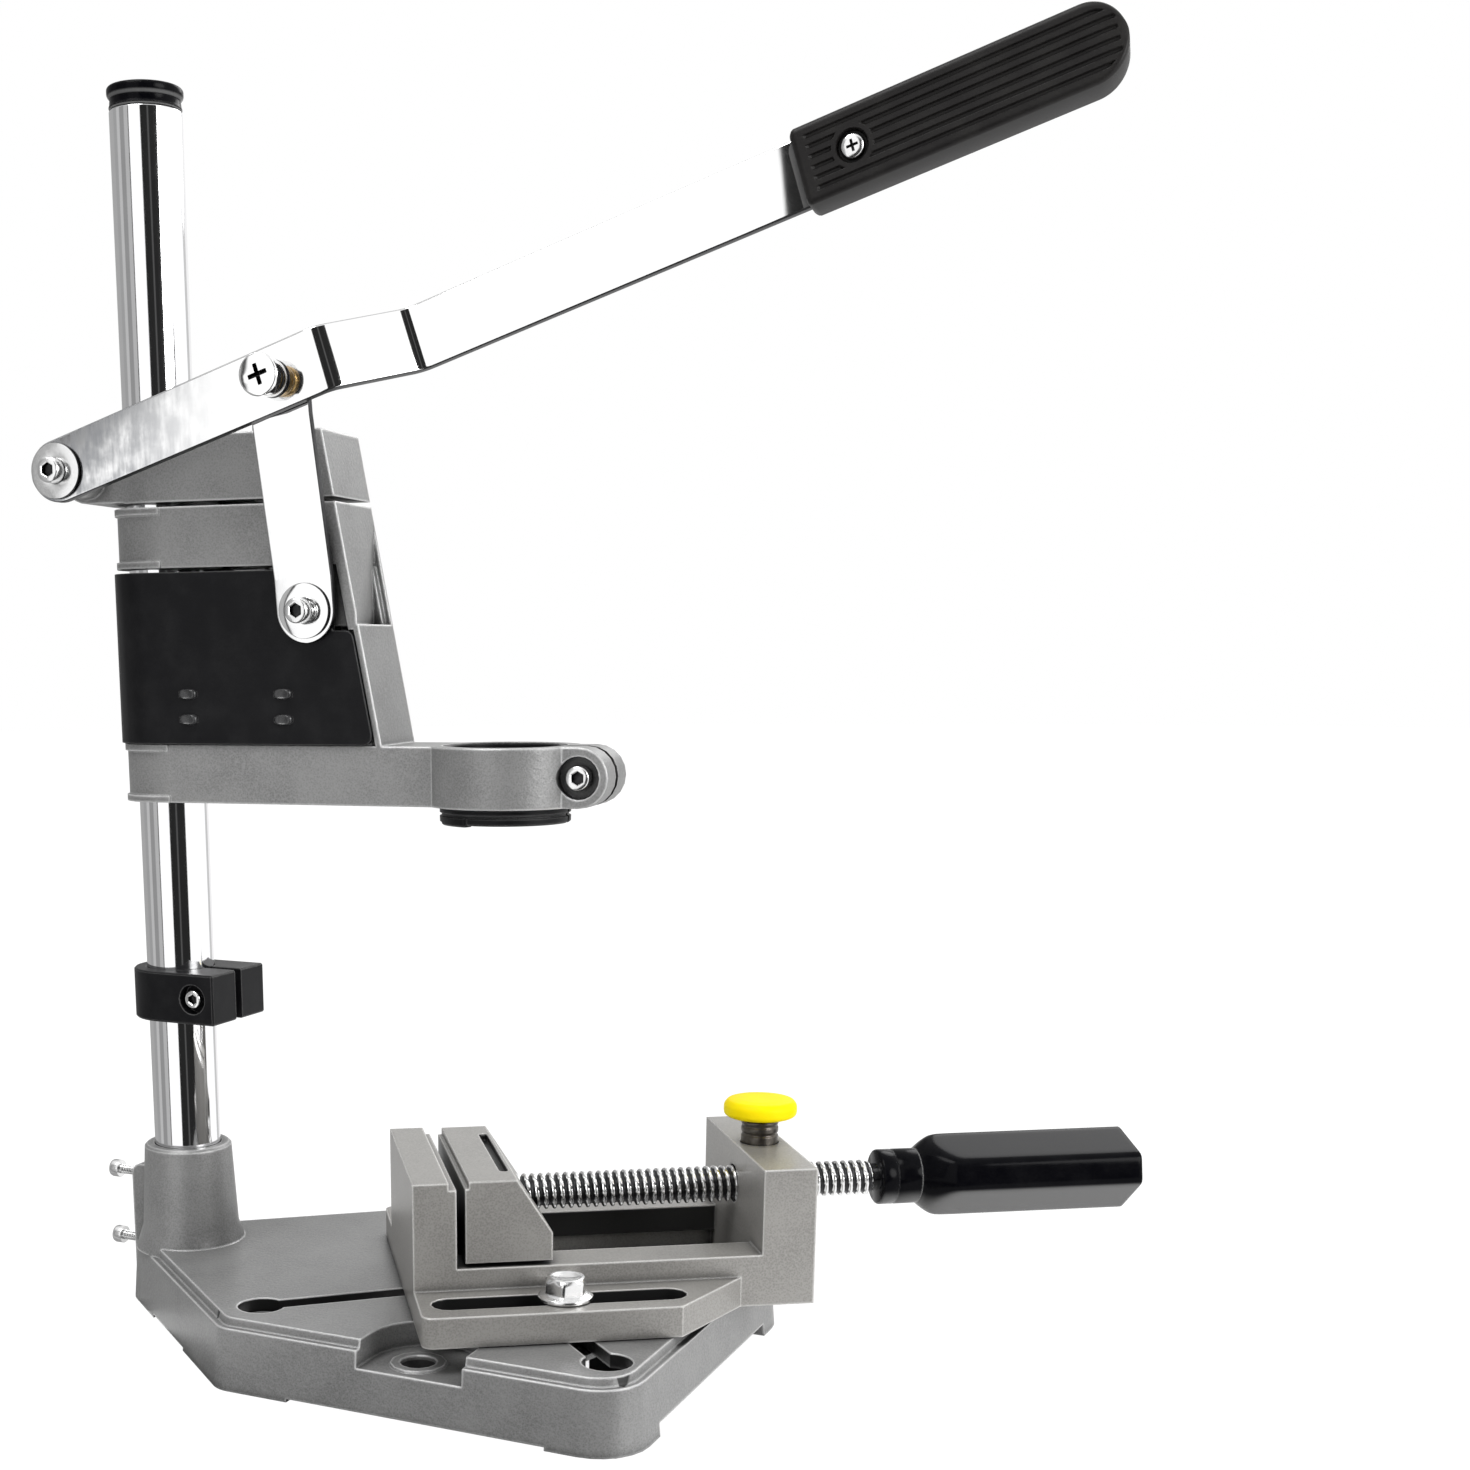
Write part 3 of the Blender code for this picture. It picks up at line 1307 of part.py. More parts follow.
# Vise, in its own frame
def make_vise(look):
    half = vise_half
    start = -vise_back
    bed = slab("vise_casting", (start, block_end), (-half, half), (vise_floor, rail_top), look)
    jaw_end = start + fixed_jaw_thickness
    jaw_foot = rail_top - rail_ledge
    jaw = [(start, jaw_foot), (jaw_end + jaw_step, jaw_foot), (jaw_end + jaw_step, jaw_plate_top),
           (jaw_end, jaw_plate_top),
           (jaw_end, jaw_top), (start, jaw_top)]
    fuse(bed, prism("fixed_jaw", jaw, -half, half, look, "Y"))
    fuse(bed, slab("block", (block_start, block_end), (-half, half), (jaw_foot, jaw_top), look))
    for side in (-1, 1):
        outline = [(start, side * (half - gap)), (start, side * (half + flange_width)),
                   (start + flange_length, side * (half + flange_width)),
                   (start + flange_length + flange_chamfer, side * (half - gap))]
        outline = round_corner(outline, 1, flange_corner)
        fuse(bed, prism("flange", outline, vise_floor, flange_top, look))
        middle = side * (half + flange_slot_inset)
        ends = [(start + flange_slot_start + flange_slot_width / 2, middle),
                (start + flange_slot_start + flange_length - flange_slot_width / 2, middle)]
        cut(bed,
            slot_cutter("flange_slot", ends[0], ends[1], flange_slot_width, vise_floor - overrun,
                        flange_top + overrun, look))
    track = half - rail_width
    cut(bed,
        slab("track", (jaw_end + jaw_step, block_start), (-track, track),
             (vise_floor - overrun, rail_top + overrun), look))
    ledge = track + rail_ledge
    cut(bed,
        slab("ledge", (jaw_end + jaw_step, block_start), (-ledge, ledge),
             (vise_floor - overrun, rail_top - rail_ledge_drop), look))
    centre = (0, screw_height)
    cut(bed,
        rod("screw_bore", screw_diameter / 2 + screw_bore_clearance, block_start - overrun,
            block_end + overrun, look, centre, "X", middle_steps))
    cut(bed,
        rod("release_bore", release_bush_diameter / 2 + gap, jaw_top - release_bush_depth,
            jaw_top + overrun,
                 look, (release_axis, 0), steps=middle_steps))
    cut(bed,
        rod("pin_bore", release_pin_diameter / 2 + gap, screw_height, jaw_top, look, (release_axis, 0)))
    return shade(soften(bed, edge_break))


def make_jaw(look):
    face = movable_face
    low = rail_top + movable_jaw_lift
    top_end = face + jaw_step / 2 + movable_jaw_top_length
    back = face + movable_jaw_length + jaw_step / 2
    outline = [(face, low), (back, low), (back, slope_foot), (top_end, jaw_top),
               (face + jaw_step / 2, jaw_top),
               (face + jaw_step / 2, jaw_plate_top), (face, jaw_plate_top)]
    half = vise_half - movable_jaw_inset
    jaw = prism("movable_jaw", outline, -half, half, look, "Y")
    track = vise_half - rail_width - sliding_gap
    tongue_low = rail_top - rail_ledge_drop
    fuse(jaw,
         slab("tongue", (face + jaw_step, back - jaw_step), (-track, track), (tongue_low, low + overrun),
              look))
    groove_back = top_end - jaw_groove_edge - jaw_groove_width / 2
    groove = slot_cutter("groove", (groove_back, -jaw_groove_half + jaw_groove_width / 2),
                         (groove_back, jaw_groove_half - jaw_groove_width / 2),
                         jaw_groove_width, jaw_top - jaw_groove_depth, jaw_top + overrun, look)
    cut(jaw, groove)
    cut(jaw,
        rod("screw_recess", screw_diameter / 2 + gap, back - screw_recess, back + overrun, look,
            (0, screw_height), "X", middle_steps))
    journal_end = back - journal_length - gap
    cut(jaw,
        rod("journal_bore", journal_diameter / 2 + gap, journal_end, back + overrun, look,
            (0, screw_height), "X", middle_steps))
    pin_place = screw_pin_place(back)
    cut(jaw,
        rod("pin_bore", screw_pin_diameter / 2 + gap, tongue_low - overrun,
            screw_height + journal_diameter / 2, look, pin_place))
    keeper_centre = (keeper_middle(), 0)
    cut(jaw,
        rod("keeper_hole", keeper_screw_diameter / 2 + gap, tongue_low - overrun, rail_top, look,
            keeper_centre))
    return shade(soften(jaw, edge_break / 2))


def screw_pin_place(back):
    groove_middle = back - journal_length + journal_groove_place + journal_groove_length / 2
    return (groove_middle, journal_diameter / 2 - journal_groove_depth + screw_pin_diameter / 2 + gap)


def keeper_middle():
    return movable_face + jaw_step / 2 + movable_jaw_length / 2


def make_jaw_fittings(steel):
    back = movable_face + movable_jaw_length + jaw_step / 2
    track = vise_half - rail_width
    tongue_low = rail_top - rail_ledge_drop
    keeper_top = tongue_low - gap
    keeper_half = track + rail_ledge - 3 * sliding_gap
    length = movable_jaw_length / 3
    middle = keeper_middle()
    keeper = slab("jaw_keeper", (middle - length, middle + length), (-keeper_half, keeper_half),
                  (keeper_top - keeper_thickness, keeper_top), steel)
    head_depth = keeper_screw_diameter * pan_head_height_share
    head_radius = keeper_screw_diameter * pan_head_width_share / 2
    seat = keeper_top - keeper_thickness + head_depth
    cut(keeper,
        rod("hole", keeper_screw_diameter / 2 + gap, seat - overrun, keeper_top + overrun, steel,
            (middle, 0)))
    cut(keeper,
        rod("recess", head_radius + gap, keeper_top - keeper_thickness - overrun, seat, steel, (middle, 0)))
    screw = pan_screw("keeper_screw", keeper_screw_diameter, seat - gap, rail_top - gap, steel,
                      (middle, 0), "Z", -1)
    pin_place = screw_pin_place(back)
    pin = rod("screw_pin", screw_pin_diameter / 2, tongue_low, screw_height + journal_diameter / 2 - gap,
              steel, pin_place)
    return [shade(keeper), screw, pin]


# Lead screw, in its own frame: X along the vise, Z up from its axis
def make_lead_screw(look):
    """A journal in the jaw, a single-start thread and a plain shank in the handle, as one surface."""
    back = movable_face + movable_jaw_length + jaw_step / 2
    start = back - journal_length
    groove = start + journal_groove_place
    journal = journal_diameter / 2
    neck = journal - journal_groove_depth
    crest = screw_diameter / 2
    root = crest - screw_thread_depth
    low, high = back - screw_recess + gap, -vise_back + thread_end
    tail = shank_diameter / 2
    end = -vise_back + shank_end
    rows = [[(journal, start)], [(journal, groove)], [(neck, groove)],
            [(neck, groove + journal_groove_length)],
            [(journal, groove + journal_groove_length)], [(journal, low)]]
    rows = [row * screw_points_per_turn for row in rows]
    first = len(rows)
    for level in range(-2, 2 * int(ceil((high - low) / screw_pitch)) + 1):
        row = []
        for i in range(screw_points_per_turn):
            along = low + screw_pitch * (level / 2 + i / screw_points_per_turn)
            inside = low < along < high
            row.append((crest if inside and level % 2 else root, min(max(along, low), high)))
        rows.append(row)
    last = len(rows) - 1
    rows += [[(tail, high)] * screw_points_per_turn, [(tail, end)] * screw_points_per_turn]
    points = []
    for row in rows:
        for i, (radius, along) in enumerate(row):
            turn = 2 * pi * i / screw_points_per_turn
            points.append((along, radius * cos(turn), radius * sin(turn)))
    count = screw_points_per_turn
    faces = [tuple(range(count)), tuple(range(len(points) - count, len(points)))]
    for level in range(len(rows) - 1):
        threaded = first <= level < last
        for i in range(count):
            here, there = level * count, (level + 1) * count
            if i + 1 < count:
                faces.append((here + i, here + i + 1, there + i + 1, there + i))
            elif threaded:
                faces.append((here + i, min(level + 2, last) * count, min(level + 3, last) * count,
                              there + i))
            else:
                faces.append((here + i, here, there, there + i))
    screw = add_object("lead_screw", points, faces, look)
    settle(screw)
    cut(screw, rod("pin_bore", handle_pin_diameter / 2 + gap, -crest, crest, look, handle_pin_place(), "Y"))
    return shade(screw, fine_shade_angle)


def handle_outline():
    """A flattened six-sided section with its points at the top and the bottom."""
    corners = []
    for side in (1, -1):
        corners += [(0, side * handle_height / 2), (-side * handle_width / 2, side * handle_side_face / 2),
                    (-side * handle_width / 2, -side * handle_side_face / 2)]
    return [(a * cos(handle_turn) - b * sin(handle_turn),
             a * sin(handle_turn) + b * cos(handle_turn)) for a, b in corners]


def make_handle(look):
    """A six-sided grip, turned to a cone where it meets its round collar."""
    start, cone_start, cone_end, end = [-vise_back + p for p in (handle_start, handle_cone_start,
            handle_cone_end, handle_end)]
    collar_end = -vise_back + handle_collar_end
    radius = handle_collar_diameter / 2
    reach = handle_width / 2 + handle_end_chamfer
    handle = prism("screw_handle", handle_outline(), cone_start, end, look, "X")
    limit = [(0, cone_start), (radius, cone_start), (reach, cone_end), (reach, end - handle_end_chamfer),
             (reach - 2 * handle_end_chamfer, end), (0, end)]
    keep_inside(handle, turned("limit", limit, look, axis="X", steps=big_steps))
    fuse(handle, rod("collar", radius, start, collar_end, look, axis="X", steps=middle_steps))
    bore = shank_diameter / 2 + gap
    cut(handle,
        rod("bore", bore, start - overrun, -vise_back + shank_end + gap, look, axis="X",
            steps=middle_steps))
    pin = handle_pin_diameter / 2 + gap
    cut(handle, rod("pin_bore", pin, -handle_width, handle_width, look, handle_pin_place(), "Y"))
    return shade(handle, fine_shade_angle)


def handle_pin_place():
    return (-vise_back + (handle_start + handle_collar_end) / 2 - edge_break, 0)


def make_handle_pin(look):
    return rod("handle_pin", handle_pin_diameter / 2, -handle_collar_diameter / 2 + edge_break,
               handle_collar_diameter / 2 - edge_break,
               look, handle_pin_place(), "Y")


# Quick release, in its own frame: about the knob's axis, heights from the floor
def make_release(dark, steel, yellow):
    bush_low = jaw_top - release_bush_depth + gap
    bush_top = jaw_top + release_bush_rise
    roof = bush_top - release_bush_roof
    outer, bore = release_bush_diameter / 2, release_bush_bore / 2
    pin = release_pin_diameter / 2
    profile = [(bore, bush_low), (outer, bush_low), (outer, bush_top), (pin + gap, bush_top),
               (pin + gap, roof), (bore, roof)]
    bush = turned("release_bush", profile, dark, steps=middle_steps)
    tip = screw_height + screw_diameter / 2 + gap
    collar_low = bush_low
    collar_top = collar_low + release_pin_collar_height
    knob_low = bush_top + gap
    pin_top = knob_low + release_knob_height / 2
    pin_profile = [(0, tip), (pin, tip), (pin, collar_low), (release_pin_collar / 2, collar_low),
                   (release_pin_collar / 2, collar_top),
                   (pin, collar_top), (pin, pin_top), (0, pin_top)]
    plunger = turned("release_pin", pin_profile, steel)
    knob_top = knob_low + release_knob_height
    rim = release_knob_diameter / 2
    rim_low = knob_top - release_knob_rim - edge_break
    knob_profile = [(0, pin_top + gap), (pin + gap, pin_top + gap), (pin + gap, knob_low),
                    (release_knob_foot / 2, knob_low),
                    (release_knob_foot / 2 + edge_break, rim_low - edge_break), (rim - 2 * edge_break,
                            rim_low), (rim, rim_low + 2 * edge_break),
                    (rim, knob_top - 3 * edge_break), (rim - edge_break,
                                                       knob_top - edge_break), (rim - 4 * edge_break,
                                                               knob_top), (0, knob_top)]
    knob = turned("release_knob", knob_profile, yellow, steps=middle_steps)
    mean = (bore + pin) / 2
    spring = coil("release_spring", mean, release_spring_wire / 2, collar_top + gap, roof - gap,
                  release_spring_turns, steel, (0, 0))
    return bush, plunger, knob, spring


# Hold-down bolts, in the base's frame
def vise_bolt_places():
    """Where each flange's slot crosses the base's slot from keyhole to keyhole."""
    diagonal = Vector((keyhole_along, -keyhole_across)).normalized()
    across = Vector((-sin(vise_angle), cos(vise_angle)))
    reach = (vise_half + flange_slot_inset) / abs(diagonal.dot(across))
    near = diagonal * reach
    return [(slot_centre + way * near.x, way * near.y) for way in (1, -1)]


def make_vise_bolts(steel):
    pieces = []
    deck_bottom = plate_height - base_deck
    seat = flange_top + gap
    flange = vise_bolt_flange_diameter / 2
    for name, centre in zip(("near", "far"), vise_bolt_places()):
        washer_top = deck_bottom - gap
        nut_top = washer_top - vise_washer_thickness - gap
        nut_low = nut_top - vise_bolt_diameter * nut_height_share
        profile = [(0, nut_low), (vise_bolt_diameter / 2, nut_low), (vise_bolt_diameter / 2, seat),
                   (flange, seat),
                   (flange, seat + vise_bolt_flange_height / 2), (flange * flange_taper_share,
                           seat + vise_bolt_flange_height), (0, seat + vise_bolt_flange_height)]
        bolt = turned(f"vise_bolt_{name}", profile, steel, centre, steps=middle_steps)
        head = hexagon(centre, vise_bolt_diameter * nut_flats_share * bolt_head_share, vise_bolt_turn)
        fuse(bolt,
             prism("head", head, seat + vise_bolt_flange_height / 2, seat + vise_bolt_head_height, steel))
        pieces.append(shade(bolt))
        pieces.append(washer(f"vise_washer_{name}", vise_washer_diameter, vise_bolt_diameter,
                             washer_top - vise_washer_thickness,
                             washer_top, steel, centre, "Z"))
        pieces.append(nut(f"vise_nut_{name}", vise_bolt_diameter, nut_low + gap, nut_top, steel, centre,
                          "Z", vise_bolt_turn))
    return pieces


def main():
    clear_scene()
    cast_grey = material("cast_grey", (0.29, 0.29, 0.29), 0.42, 0.35)
    vise_grey = material("vise_grey", (0.34, 0.33, 0.31), 0.38, 0.45)
    chrome = material("chrome", (0.80, 0.80, 0.81), 0.09, 1.0)
    zinc = material("zinc", (0.72, 0.72, 0.72), 0.30, 1.0)
    dark_steel = material("dark_steel", (0.10, 0.09, 0.08), 0.35, 0.9)
    black = material("black_plastic", (0.015, 0.015, 0.016), 0.40, 0.0)
    gloss_black = material("gloss_black", (0.008, 0.008, 0.009), 0.14, 0.0)
    yellow = material("yellow_plastic", (0.90, 0.88, 0.01), 0.22, 0.0)

    make_base(cast_grey)
    make_socket_screws(dark_steel)
    make_vise_bolts(zinc)

    column_frame = joint_frame("column_axis", turn=(0, 0, arm_swivel))
    carry(column_frame, make_column(chrome), make_cap(black))
    stop_frame = joint_frame("stop_slide", column_frame, turn=(0, 0, -arm_swivel))
    carry(stop_frame, make_stop_collar(black), *make_stop_fasteners(zinc))

    head_frame = joint_frame("head_slide", column_frame)
    carry(head_frame, make_head(cast_grey), *make_pivot(zinc), *make_rod(zinc))
    lever_frame = joint_frame("lever_axis", head_frame, (-pivot_back, 0, pivot_height), (0, -lever_tilt, 0))
    carry(lever_frame, make_lever_bar(zinc), make_grip(black), make_grip_screw(dark_steel),
          *make_link_screw(zinc, dark_steel))
    link_frame = joint_frame("link_axis", lever_frame, (crank, 0, 0), (0, lever_tilt - link_tilt, 0))
    carry(link_frame, make_link(zinc))

    carriage_frame = joint_frame("carriage_slide", head_frame)
    carry(carriage_frame, make_carriage(cast_grey), make_cover(black), *make_cover_screws(dark_steel),
          make_sleeve(black),
          *make_clamp(zinc), *make_link_bolt(zinc))

    vise_frame = joint_frame("vise_slide", location=(slot_centre, 0, 0), turn=(0, 0, vise_angle))
    bush, plunger, knob, release_spring = make_release(dark_steel, zinc, yellow)
    carry(vise_frame, make_vise(vise_grey))
    jaw_frame = joint_frame("jaw_slide", vise_frame)
    carry(jaw_frame, make_jaw(vise_grey), *make_jaw_fittings(zinc))
    screw_frame = joint_frame("screw_axis", jaw_frame, (0, 0, screw_height))
    carry(screw_frame, make_lead_screw(zinc), make_handle(gloss_black), make_handle_pin(zinc))
    release_frame = joint_frame("release_slide", vise_frame, (release_axis, 0, 0))
    carry(release_frame, bush, plunger, knob, release_spring)
    bpy.context.view_layer.update()


main()
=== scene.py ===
# %% [markdown]
# # A bench drill stand
# A chrome column stands in a cast base. A carriage with a split ring for a drill rides on the
# column, a long hand lever feeds it down, and a small vise is bolted to the slots of the base.
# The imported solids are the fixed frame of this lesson. Castings keep the solids' shape, and the
# turned, wound and bent pieces are made afresh as surfaces worked out with numpy.

import json
from math import atan2, cos, pi, radians, sin, tan

import bmesh
import bpy
import numpy as np
from mathutils import Matrix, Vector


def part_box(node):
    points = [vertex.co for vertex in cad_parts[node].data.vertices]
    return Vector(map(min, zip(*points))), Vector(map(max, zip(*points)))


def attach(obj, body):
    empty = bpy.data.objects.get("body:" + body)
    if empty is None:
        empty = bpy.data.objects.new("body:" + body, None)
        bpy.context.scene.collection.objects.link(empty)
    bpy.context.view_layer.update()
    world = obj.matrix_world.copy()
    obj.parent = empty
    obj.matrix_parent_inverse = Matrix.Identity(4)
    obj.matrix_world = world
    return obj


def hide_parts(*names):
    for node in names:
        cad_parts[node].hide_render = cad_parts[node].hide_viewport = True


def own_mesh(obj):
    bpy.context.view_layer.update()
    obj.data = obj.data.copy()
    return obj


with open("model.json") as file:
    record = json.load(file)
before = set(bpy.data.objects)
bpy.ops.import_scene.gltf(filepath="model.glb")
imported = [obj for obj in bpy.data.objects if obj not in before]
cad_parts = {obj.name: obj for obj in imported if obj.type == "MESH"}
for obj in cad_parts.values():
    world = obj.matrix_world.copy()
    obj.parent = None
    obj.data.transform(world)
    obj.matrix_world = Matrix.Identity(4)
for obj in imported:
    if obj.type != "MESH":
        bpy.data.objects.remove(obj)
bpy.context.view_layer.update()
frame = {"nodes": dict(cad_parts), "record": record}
mm = 0.001

# %% [markdown]
# ## The camera
# The photograph was taken from a little above the vise, left of the lever's plane. Its place was
# worked out from measured points of the stand, so it is written here as a position and the three
# directions right, up and back. The view is shifted, because the stand fills the left of the
# picture and the camera's axis meets the picture low down on that side.


# %% Camera
def add_object(name, data):
    made = bpy.data.objects.new(name, data)
    bpy.context.scene.collection.objects.link(made)
    return made


camera_data = bpy.data.cameras.new("camera")
camera_data.sensor_width = 36.0
camera_data.lens = 48.077
camera_data.shift_x = 0.1889
camera_data.shift_y = 0.2594
camera_data.clip_start = 0.01
camera = add_object("camera", camera_data)
bpy.context.scene.camera = camera
camera_axes = np.array([[0.892270, 0.451424, -0.008467], [-0.096686, 0.209357, 0.973047],
                        [0.441029, -0.867402, 0.230450]])
camera_place = np.eye(4)
camera_place[:3, :3] = camera_axes.T
camera_place[:3, 3] = np.array([424.06, -605.64, 245.13]) * mm
camera.matrix_world = Matrix(camera_place.tolist())
print("camera", np.round(camera_place[:3, 3], 3), "m from the foot of the column")

# %% [markdown]
# ## Shader arithmetic
# A finish is a sum of small ideas: a grain, a spread of dirt, a colour between two others. A
# `Wire` is the output of one node, and adding or multiplying wires adds the Math nodes. All other
# nodes come from `Finish.node`, which sets a node's own settings first and then its sockets.


# %% Wires and finishes
class Wire:
    """One output of a shader node, on which arithmetic adds Math nodes."""

    def __init__(self, finish, socket):
        self.finish = finish
        self.socket = socket

    def math(self, operation, *values):
        return self.finish.node("ShaderNodeMath", {"operation": operation}, *values)

    def __add__(self, other):
        return self.math("ADD", self, other)

    def __sub__(self, other):
        return self.math("SUBTRACT", self, other)

    def __rsub__(self, other):
        return self.math("SUBTRACT", other, self)

    def __mul__(self, other):
        return self.math("MULTIPLY", self, other)

    def smooth(self, low, high):
        """0 below low, 1 above high, and a soft step between them."""
        settings = {"interpolation_type": "SMOOTHSTEP"}
        return self.finish.node("ShaderNodeMapRange", settings, self, low, high, 0.0, 1.0)


class Finish:
    """A material whose nodes are added from Python expressions."""

    def __init__(self, name):
        self.material = bpy.data.materials.new(name)
        self.material.use_nodes = True
        self.tree = self.material.node_tree
        self.shader = self.tree.nodes.get("Principled BSDF")
        self.place = Wire(self, self.tree.nodes.new("ShaderNodeTexCoord").outputs["Object"])

    def node(self, kind, settings, *values, output=0, **named):
        made = self.tree.nodes.new(kind)
        for setting, value in settings.items():
            setattr(made, setting, value)
        sockets = list(enumerate(values)) + list(named.items())
        for key, value in sockets:
            socket = made.inputs[int(key[1:])] if str(key)[0] == "_" else made.inputs[key]
            self.fill(socket, value)
        return Wire(self, made.outputs[output])

    def fill(self, socket, value):
        """Links a wire to a socket, or sets its value; None leaves it as it is."""
        if isinstance(value, Wire):
            self.tree.links.new(value.socket, socket)
        elif value is not None:
            socket.default_value = value

    def stretch(self, x, y, z):
        """The object's coordinates scaled along each axis."""
        return self.node("ShaderNodeVectorMath", {"operation": "MULTIPLY"}, self.place, (x, y, z))

    def noise(self, scale, detail, vector=None):
        return self.node("ShaderNodeTexNoise", {}, Vector=vector or self.place, Scale=scale, Detail=detail)

    def cells(self, scale):
        settings = {"feature": "SMOOTH_F1"}
        return self.node("ShaderNodeTexVoronoi", settings, Vector=self.place, Scale=scale, Smoothness=0.6)

    def blend(self, factor, first, second):
        """A colour between two others."""
        first = (*first, 1.0) if isinstance(first, tuple) else first
        second = (*second, 1.0) if isinstance(second, tuple) else second
        return self.node("ShaderNodeMix", {"data_type": "RGBA"}, _0=factor, _6=first, _7=second, output=2)

    def bevel(self, radius):
        """The normal that a small rounding would give at every edge."""
        return self.node("ShaderNodeBevel", {"samples": 6}, Radius=radius)

    def edges(self, rounded):
        """1 on the rounding of an edge and 0 on a face."""
        plain = self.node("ShaderNodeNewGeometry", {}, output=1)
        return 1.0 - self.dot(rounded, plain).smooth(0.84, 0.995)

    def openness(self, distance, low, high):
        """0 in a gap or a deep corner and 1 where the surface lies open."""
        light = self.node("ShaderNodeAmbientOcclusion", {"samples": 6}, Distance=distance, output=1)
        return light.smooth(low, high)

    def dot(self, first, second):
        return self.node("ShaderNodeVectorMath", {"operation": "DOT_PRODUCT"}, first, second, output=1)

    def along(self, direction, origin=0.0):
        """How far the point lies along a direction, counted from an origin."""
        return self.dot(self.place, tuple(map(float, direction))) - float(origin)

    def bump(self, height, depth, strength=1.0, normal=None):
        settings = {"Strength": strength, "Distance": depth, "Height": height, "Normal": normal}
        return self.node("ShaderNodeBump", {}, **settings)

    def feed(self, **sockets):
        """Links or sets the shader's own sockets; an underscore stands for a space."""
        for key, value in sockets.items():
            self.fill(self.shader.inputs[key.replace("_", " ")], value)
        return self.material


print("a finish is a tree of nodes")

# %% [markdown]
# ## Light
# The photograph was lit from large soft sources on all sides, and cut out on white. A pale world
# gives the even level, a wide lamp above and to the left gives the brighter tops, and a weaker one
# fills from the right. Polished metal shows what is around it, so for glossy rays only, the world
# has a few dark upright bands, as between the soft boxes of a studio.


# %% World
def studio(azimuth):
    """The level that polished metal finds round the stand: an upright edge at each step."""
    level = before = studio_first
    for edge, after in studio_steps:
        level = azimuth.smooth(radians(edge - 1.0), radians(edge + 1.0)) * (after - before) + level
        before = after
    return level


def azimuth_of(finish, place):
    parts = finish.node("ShaderNodeSeparateXYZ", {}, place)
    x, y, z = (Wire(finish, parts.socket.node.outputs[i]) for i in range(3))
    return y.math("ARCTAN2", y, x), z


def most(first, *others):
    """The largest of several wires."""
    for other in others:
        first = first.math("MAXIMUM", first, other)
    return first


def ray_kinds(finish):
    """1 for the camera's own rays, and 1 for rays that polished metal sends on."""
    path = finish.tree.nodes.new("ShaderNodeLightPath")
    return (Wire(finish, path.outputs[name]) for name in ("Is Camera Ray", "Is Glossy Ray"))


def make_world():
    world = bpy.data.worlds.new("studio")
    bpy.context.scene.world = world
    world.use_nodes = True
    tree = world.node_tree
    tree.nodes.clear()
    sky = Finish.__new__(Finish)  # a world has a tree, but none of a material's own nodes
    sky.tree = tree
    azimuth, z = azimuth_of(sky, Wire(sky, tree.nodes.new("ShaderNodeTexCoord").outputs["Generated"]))
    above = z.smooth(0.55, 0.80)
    reflected = studio(azimuth) * (1.0 - above) + above * overhead_level
    seen, glossy = ray_kinds(sky)
    level = seen + (1.0 - seen) * (glossy * reflected + (1.0 - glossy) * world_level)
    background = sky.node("ShaderNodeBackground", {}, (1.0, 1.0, 1.0, 1.0), level)
    sky.fill(tree.nodes.new("ShaderNodeOutputWorld").inputs["Surface"], background)


world_level = 0.50
overhead_level = 0.95
studio_first = 0.36
# Each step is an azimuth in degrees and the level from there on.
studio_steps = ((-162.0, 0.52), (-148.0, 0.30), (-130.0, 0.48), (-115.0, 0.03), (-112.0, 1.15), (-74.0, 0.02),
                (-52.0, 0.09), (-47.0, 0.02), (-20.0, 1.15), (68.0, 0.62), (85.0, 0.95), (125.0, 0.40))
make_world()
print("world with", len(studio_steps), "upright edges for polished metal")


# %% Lamps and floor
def unit(vector):
    return vector / np.linalg.norm(vector)


def add_lamp(name, place, aim, size, power):
    lamp = bpy.data.lights.new(name, "AREA")
    lamp.shape = "DISK"
    lamp.size = size
    lamp.energy = power
    back = unit(np.subtract(place, aim))
    side = unit(np.cross([0.0, 0.0, 1.0], back))
    pose = np.eye(4)
    pose[:3, :3] = np.stack([side, np.cross(back, side), back], 1)
    pose[:3, 3] = place
    add_object(name, lamp).matrix_world = Matrix(pose.tolist())


add_lamp("key", (-0.2, -0.7, 1.7), (0.1, 0.0, 0.15), 0.9, 15.0)
add_lamp("fill", (1.7, -0.3, 0.7), (0.1, 0.0, 0.15), 0.9, 16.0)
add_lamp("rim", (0.3, 1.3, 1.1), (0.1, 0.0, 0.2), 0.8, 6.0)

floor_radius = 6.0
floor_corners = 64
floor_drop = 0.4 * mm
plate_middle = 135.0 * mm
plate_half = 74.0 * mm


